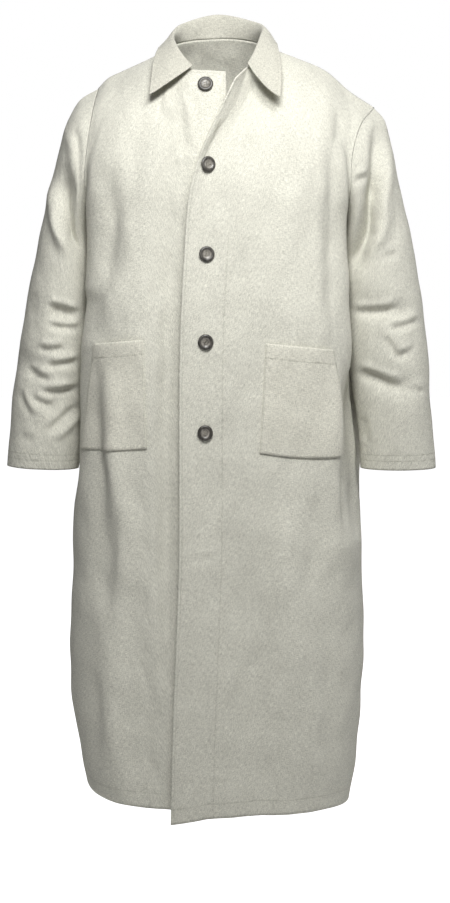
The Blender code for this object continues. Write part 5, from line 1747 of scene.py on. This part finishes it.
# The nets' rows at which the search for a stitch row starts.
FACING_FIRST_ROW = 84
SEAM_FIRST_ROW = 6
thread = thread_material("sewing_thread", (0.52, 0.51, 0.44))
body_thread = []
count = 0
for points, away, distance, side in (
    (right_points, right_from_hem, HEM_DEEP, -1.0),
    (left_points, left_from_hem, HEM_DEEP, 1.0),
    (back_points, back_from_hem, HEM_DEEP, -1.0),
):
    places, normals = row_line(points[::-1], away[::-1], distance, 0)
    count += stitch_along(body_thread, places, -normals, side)
for points, away, distance, side, first in (
    (right_points, right_from_edge, EDGE_ROW, -1.0, 0),
    (left_points, left_from_free, EDGE_ROW, 1.0, 0),
    (left_points, left_facing_row, 0.0, 1.0, FACING_FIRST_ROW),
):
    places, normals = row_line(points[first:], away[first:], distance, 1)
    count += stitch_along(body_thread, places, normals, side)
for points, away, side in (
    (right_points[:, ::-1], right_from_seam[:, ::-1], 1.0),
    (left_points[:, ::-1], left_from_seam[:, ::-1], -1.0),
    (back_points, back_from_seam, -1.0),
    (back_points[:, ::-1], back_from_seam[:, ::-1], 1.0),
):
    upper = slice(SEAM_FIRST_ROW, UPPER_FINE)
    places, normals = row_line(points[upper], away[upper], SEAM_ROW, 1)
    count += stitch_along(body_thread, places, normals, side)
thread_object("stitches_body", body_thread, thread)
print("stitches on the body:", count)

# %% [markdown]
# ## Stitches of the sleeves, collar and pockets
# The same two helpers do the smaller pieces. A pocket's row runs down one side, along the
# bottom and up the other, so it is taken as three short rows.

# %% Stitches on the smaller pieces
small_thread = []
count = 0
for points, side in ((sleeve_right_points, -1.0), (sleeve_left_points, 1.0)):
    from_cuff = distance_to(points, edge_path(points[-1]))
    for deep in (CUFF_DEEP, CUFF_SECOND):
        places, normals = row_line(points[::-1], from_cuff[::-1], deep, 0)
        count += stitch_along(small_thread, places, -normals, side)
places, normals = row_line(collar_net[::-1], collar_from_rim[::-1], COLLAR_ROW, 0)
count += stitch_along(small_thread, places, -normals, -1.0)
for points, side in ((pocket_right_points, -1.0), (pocket_left_points, 1.0)):
    for net, turned, axis in (
        (points, 1.0, 1),
        (points[:, ::-1], -1.0, 1),
        (points[::-1], -1.0, 0),
    ):
        edge = net[:, 0] if axis == 1 else net[0]
        from_edge = distance_to(net, edge_path(edge))
        places, normals = row_line(net, from_edge, POCKET_ROW, axis)
        count += stitch_along(small_thread, places, normals * turned, side)
    from_top = distance_to(points, edge_path(points[0]))
    places, normals = row_line(points, from_top, POCKET_HEM, 0)
    count += stitch_along(small_thread, places, normals, side)
thread_object("stitches_sleeves_collar_pockets", small_thread, thread)
print("stitches on sleeves, collar and pockets:", count)

# %% [markdown]
# ## Horn buttons
# Five dark buttons of 25 mm, turned from horn: a dished face with four holes, a raised rim and a
# soft edge. Each is spun from half of its section, drilled with four round cutters, and set
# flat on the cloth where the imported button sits. The rim is nearly black, the dish is grey-brown
# with paler clouds and streaks that run through it, and wear has left only half of the gloss.

# %% Button shape, place and holes
BUTTONS = (
    # x, z
    (-0.0180, -0.0680),
    (-0.0150, -0.1960),
    (-0.0160, -0.3380),
    (-0.0175, -0.4770),
    (-0.0185, -0.6220),
)
BUTTON_PROFILE = (
    # radius, height, from the middle of the face to the middle of the back
    (0.0000, 0.0024),
    (0.0040, 0.00245),
    (0.0062, 0.0027),
    (0.0072, 0.0033),
    (0.0080, 0.0038),
    (0.0091, 0.00405),
    (0.0103, 0.0040),
    (0.0113, 0.0036),
    (0.0120, 0.0030),
    (0.0125, 0.0021),
    (0.0123, 0.0012),
    (0.0113, 0.0005),
    (0.0098, 0.0001),
    (0.0080, 0.0000),
    (0.0000, 0.0000),
)
BUTTON_SIDES = 56
HOLE_RADIUS = 0.0010
HOLE_SPREAD = 0.0026
SEAT_RADIUS = 0.0108
BUTTON_GAP = 0.0007
DISH_RADIUS = 0.0064
RIM_RADIUS = 0.0082
RIM_SHADE = 0.30
HORN_STREAKS = (150.0, 150.0, 60.0)
HORN_DARK = (0.085, 0.078, 0.068, 1.0)
HORN_PALE = (0.330, 0.310, 0.275, 1.0)
HORN_ENDS = (0.34, 0.68)
HORN_FINE_SCALE = 1400.0
HORN_ROUGHNESS = 0.24
HORN_ROUGHNESS_SHARE = 0.22
HORN_HEIGHT = 0.00004


def button_seat(points, x, z):
    """(point, normal) of the plane that rests on a front under a button."""
    flat = points.reshape(-1, 3)
    near = flat[np.hypot(flat[:, 0] - x, flat[:, 2] - z) < SEAT_RADIUS]
    table = np.stack([near[:, 0] - x, near[:, 2] - z, np.ones(len(near))], axis=1)
    slope_x, slope_z, middle = np.linalg.lstsq(table, near[:, 1], rcond=None)[0]
    normal = np.array([slope_x, -1.0, slope_z])
    normal = normal / np.linalg.norm(normal)
    point = np.array([x, middle, z])
    return point + normal * max(0.0, float(((near - point) @ normal).max())), normal


def horn_material(name, seed):
    material = bpy.data.materials.new(name)
    material.use_nodes = True
    tree = material.node_tree
    shader = tree.nodes["Principled BSDF"]
    place = add_node(tree, "ShaderNodeTexCoord").outputs["Object"]
    away = (seed, seed * 0.7, seed * 0.3)
    moved = add_node(
        tree, "ShaderNodeVectorMath", {0: place, 1: away}, operation="ADD"
    ).outputs[0]
    streaked = add_node(
        tree, "ShaderNodeVectorMath", {0: moved, 1: HORN_STREAKS}, operation="MULTIPLY"
    ).outputs[0]
    cloud = add_node(
        tree, "ShaderNodeTexNoise",
        {"Vector": streaked, "Scale": 1.0, "Detail": 4.0, "Roughness": 0.6, "Distortion": 1.2},
    ).outputs[0]
    ramp = add_node(tree, "ShaderNodeValToRGB", {0: cloud})
    for stop, position, colour in zip(
        ramp.color_ramp.elements, HORN_ENDS, (HORN_DARK, HORN_PALE)
    ):
        stop.position = position
        stop.color = colour
    radius = add_node(tree, "ShaderNodeAttribute", attribute_name="from_middle").outputs["Fac"]
    rim = add_node(
        tree, "ShaderNodeMapRange",
        {0: radius, 1: DISH_RADIUS, 2: RIM_RADIUS, 3: 1.0, 4: RIM_SHADE},
        interpolation_type="SMOOTHSTEP",
    ).outputs[0]
    colour = add_node(
        tree, "ShaderNodeVectorMath", {0: ramp.outputs[0], "Scale": rim}, operation="SCALE"
    ).outputs[0]
    fine = add_node(
        tree, "ShaderNodeTexNoise", {"Vector": place, "Scale": HORN_FINE_SCALE, "Detail": 2.0}
    ).outputs[0]
    roughness = calc(tree, "MULTIPLY_ADD", fine, HORN_ROUGHNESS_SHARE, HORN_ROUGHNESS)
    height = calc(tree, "MULTIPLY", fine, HORN_HEIGHT)
    relief = add_node(
        tree, "ShaderNodeBump", {"Height": height, "Distance": 1.0, "Strength": 1.0}
    )
    tree.links.new(colour, shader.inputs["Base Color"])
    tree.links.new(roughness, shader.inputs["Roughness"])
    tree.links.new(relief.outputs[0], shader.inputs["Normal"])
    return material


def hole_places():
    """The middles of the four holes, before a button is set in its place."""
    return [
        Vector((math.cos(angle), math.sin(angle), 0.0)) * HOLE_SPREAD
        for angle in (QUARTER / 2.0 + QUARTER * turn for turn in range(4))
    ]


def mesh_thing(name, mesh, material):
    data = bpy.data.meshes.new(name)
    mesh.to_mesh(data)
    mesh.free()
    return linked_thing(name, data, material)


def drill_holes(button, material):
    cutters = bmesh.new()
    for place in hole_places():
        made = bmesh.ops.create_cone(
            cutters, cap_ends=True, segments=14, radius1=HOLE_RADIUS, radius2=HOLE_RADIUS,
            depth=0.016,
        )
        bmesh.ops.translate(cutters, verts=made["verts"], vec=place)
    cutter = mesh_thing("hole_cutters", cutters, material)
    cut = button.modifiers.new("holes", "BOOLEAN")
    cut.operation = "DIFFERENCE"
    cut.solver = "EXACT"
    cut.object = cutter
    graph = bpy.context.evaluated_depsgraph_get()
    drilled = bpy.data.meshes.new_from_object(button.evaluated_get(graph))
    button.modifiers.clear()
    button.data = drilled
    bpy.data.objects.remove(cutter, do_unlink=True)


def horn_button(name, place, turn_by, material):
    mesh = bmesh.new()
    profile = [mesh.verts.new((radius, 0.0, height)) for radius, height in BUTTON_PROFILE]
    edges = [mesh.edges.new(pair) for pair in zip(profile, profile[1:])]
    bmesh.ops.spin(
        mesh, geom=profile + edges, cent=(0, 0, 0), axis=(0, 0, 1), angle=2.0 * math.pi,
        steps=BUTTON_SIDES, use_merge=True,
    )
    bmesh.ops.remove_doubles(mesh, verts=mesh.verts[:], dist=1e-6)
    bmesh.ops.recalc_face_normals(mesh, faces=mesh.faces[:])
    button = mesh_thing(name, mesh, material)
    drill_holes(button, material)
    from_middle = [math.hypot(*point.co[:2]) for point in button.data.vertices]
    store(button.data, "from_middle", from_middle)
    button.data.transform(place @ turn_by)
    for face in button.data.polygons:
        face.use_smooth = True
    button.data.set_sharp_from_angle(angle=math.radians(40.0))
    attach(button, "root")
    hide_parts(name.replace("horn_", ""))
    return button


print("button section points:", len(BUTTON_PROFILE))

# %% [markdown]
# ## Sewing on the buttons
# The thread goes through the four holes in two parallel bars of three strands, and a short
# shank of the same thread holds the button off the cloth. Each button sits turned by a few
# degrees, as hand-set buttons do.

# %% Five buttons with their thread
BUTTON_TURNS = (12.0, -35.0, 20.0, 50.0, -8.0)
STRAND_HEIGHT = 0.00255
STRAND_APART = 0.00042
STRAND_THICK = 0.00052
STRAND_OVERLAP = 1.15
SHANK_IN = 0.8
SHANK_HEIGHT = 0.0014
SHANK_LONG = 0.0040
SHANK_THICK = 0.0011
button_thread = thread_material("button_thread", (0.33, 0.31, 0.26))
sewn = []
horn_buttons = []
for number, ((x, z), degrees) in enumerate(zip(BUTTONS, BUTTON_TURNS), start=1):
    points = right_points if number == 1 else left_points
    seat, normal = button_seat(points, x, z)
    place = Vector((0.0, 0.0, 1.0)).rotation_difference(Vector(normal)).to_matrix().to_4x4()
    place.translation = Vector(seat + normal * BUTTON_GAP)
    turn_by = Matrix.Rotation(math.radians(degrees), 4, "Z")
    horn = horn_material(f"horn_{number}", 0.37 * number)
    horn_buttons.append(horn_button(f"horn_button_{number}", place, turn_by, horn))
    whole = place @ turn_by
    up = Vector(normal)
    holes = [whole @ (hole + Vector((0.0, 0.0, STRAND_HEIGHT))) for hole in hole_places()]
    for first, second in ((0, 1), (3, 2)):
        way = holes[second] - holes[first]
        beside = way.cross(up).normalized() * STRAND_APART
        for strand in (-1.0, 0.0, 1.0):
            middle = (holes[first] + holes[second]) / 2.0 + beside * strand
            lay_stitch(sewn, middle, way, up, way.length * STRAND_OVERLAP, STRAND_THICK)
    for hole in hole_places():
        start = whole @ (hole * SHANK_IN + Vector((0.0, 0.0, SHANK_HEIGHT)))
        lay_stitch(sewn, start, up, way, SHANK_LONG, SHANK_THICK)
thread_object("stitches_buttons", sewn, button_thread)
print("buttons:", [button.name for button in horn_buttons])

# %% [markdown]
# ## Buttonholes
# A worked buttonhole is a slit with close stitches all round and a bar at each end. The top one
# stands open on the turned-back strip; the other four lie upright behind their buttons.

# %% Buttonholes down the left front
HOLE_LONG = 0.022
HOLE_STITCHES = 15
HOLE_HALF = 0.0013
HOLE_STITCH = (0.0022, 0.0008)
HOLE_BAR = (0.0050, 0.0011)
BAR_AWAY = 1.04
SLIT_ROWS = 10
TOP_HOLE = (30, 9)


def buttonhole(laid, points, x, z):
    """Close stitches on both sides of an upright slit."""
    flat = points.reshape(-1, 3)
    normals = -outward(points).reshape(-1, 3)
    near = np.hypot(flat[:, 0] - x, flat[:, 2] - z).argmin()
    column = near % points.shape[1]
    row = near // points.shape[1]
    line = points[row - SLIT_ROWS:row + SLIT_ROWS + 1, column]
    up = Vector(normals[near])
    way = Vector(line[0] - line[-1]).normalized()
    cross = up.cross(way).normalized()
    middle = Vector(flat[near])
    for step in np.linspace(-0.5, 0.5, HOLE_STITCHES):
        for side in (-1.0, 1.0):
            place = middle + way * HOLE_LONG * float(step) + cross * side * HOLE_HALF
            lay_stitch(laid, place, cross, up, *HOLE_STITCH)
    for end in (-0.5, 0.5):
        place = middle + way * HOLE_LONG * (end * BAR_AWAY)
        lay_stitch(laid, place, cross, up, *HOLE_BAR)


worked = []
top_hole = left_points[TOP_HOLE]
for x, z in [(float(top_hole[0]), float(top_hole[2]))] + list(BUTTONS[1:]):
    buttonhole(worked, left_points, x, z)
stitches_buttonholes = thread_object("stitches_buttonholes", worked, thread)
print("buttonhole stitches:", len(stitches_buttonholes.data.polygons), "faces")

# %% [markdown]


# %% [markdown]
# ## Floor, light and camera
# The photograph is taken from the front at chest height, looking slightly down, with a long
# lens. The main light stands above the camera and falls off towards the hem, a second one comes
# from the upper right of the picture, and a low one from the right lifts the outer side of the
# sleeve there. A light behind the coat is only for looking at its back, and a weak even light
# fills the shadows. The floor is a plain pale sheet that goes on behind the coat and looks the
# same however it is lit, so it has no edge.

# %% Floor
FLOOR_HEIGHT = -1.51
FLOOR_SIZE = 14.0


def pale_material(name, colour, glow):
    """A white that looks the same however it is lit, and lights nothing itself."""
    material = bpy.data.materials.new(name)
    material.use_nodes = True
    tree = material.node_tree
    shader = tree.nodes["Principled BSDF"]
    seen = add_node(tree, "ShaderNodeLightPath").outputs["Is Camera Ray"]
    shader.inputs["Base Color"].default_value = colour
    shader.inputs["Roughness"].default_value = 0.95
    shader.inputs["Emission Color"].default_value = (1.0, 1.0, 1.0, 1.0)
    tree.links.new(calc(tree, "MULTIPLY", seen, glow), shader.inputs["Emission Strength"])
    return material


ground = bmesh.new()
bmesh.ops.create_grid(ground, x_segments=8, y_segments=8, size=FLOOR_SIZE / 2.0)
floor = mesh_thing("floor", ground, pale_material("pale_floor", (0.85, 0.85, 0.85, 1.0), 1.0))
floor.data.transform(Matrix.Translation((0.0, 3.0, FLOOR_HEIGHT)))
print("floor height:", FLOOR_HEIGHT)

# %% Lights and the light of the room
LIGHTS = (
    # name, place, aim, size, power, colour
    ("key_light", (-0.02, -1.45, 0.75), (0.0, -0.1, -0.30), 0.5, 29.0, (1.0, 0.998, 0.985)),
    ("side_light", (0.42, -1.10, 0.98), (0.05, -0.1, -0.30), 0.5, 15.0, (1.0, 0.995, 0.98)),
    ("right_fill", (2.00, 0.00, 0.20), (0.30, -0.05, -0.45), 0.5, 7.0, (1.0, 0.998, 0.985)),
    ("back_light", (0.0, 2.40, 1.00), (0.0, 0.0, -0.45), 0.8, 36.0, (1.0, 0.998, 0.985)),
)
ROOM_LIGHT = 0.09


def area_light(name, place, aim, size, power, colour):
    light = bpy.data.lights.new(name, "AREA")
    light.shape = "SQUARE"
    light.size = size
    light.energy = power
    light.color = colour
    thing = bpy.data.objects.new(name, light)
    bpy.context.scene.collection.objects.link(thing)
    thing.location = place
    thing.rotation_euler = (Vector(aim) - Vector(place)).to_track_quat("-Z", "Y").to_euler()
    return thing


lights = [area_light(*row) for row in LIGHTS]
world = bpy.data.worlds.new("room")
world.use_nodes = True
bpy.context.scene.world = world
room = world.node_tree
seen = add_node(room, "ShaderNodeLightPath").outputs["Is Camera Ray"]
strength = calc(room, "MULTIPLY_ADD", seen, 1.0 - ROOM_LIGHT, ROOM_LIGHT)
background = room.nodes["Background"]
background.inputs[0].default_value = (1.0, 1.0, 1.0, 1.0)
room.links.new(strength, background.inputs[1])
print("lights:", [light.name for light in lights])

# %% Camera
CAMERA_PLACE = (0.0134, -3.5, -0.26)
CAMERA_DOWN = 6.754
LENS = 83.06
camera_data = bpy.data.cameras.new("camera")
camera_data.lens = LENS
camera_data.sensor_width = 36.0
camera = bpy.data.objects.new("camera", camera_data)
bpy.context.scene.collection.objects.link(camera)
camera.location = CAMERA_PLACE
camera.rotation_euler = (QUARTER - math.radians(CAMERA_DOWN), 0.0, 0.0)
bpy.context.scene.camera = camera
bpy.context.scene.view_settings.view_transform = "Standard"
print("camera:", CAMERA_PLACE, "lens", LENS)
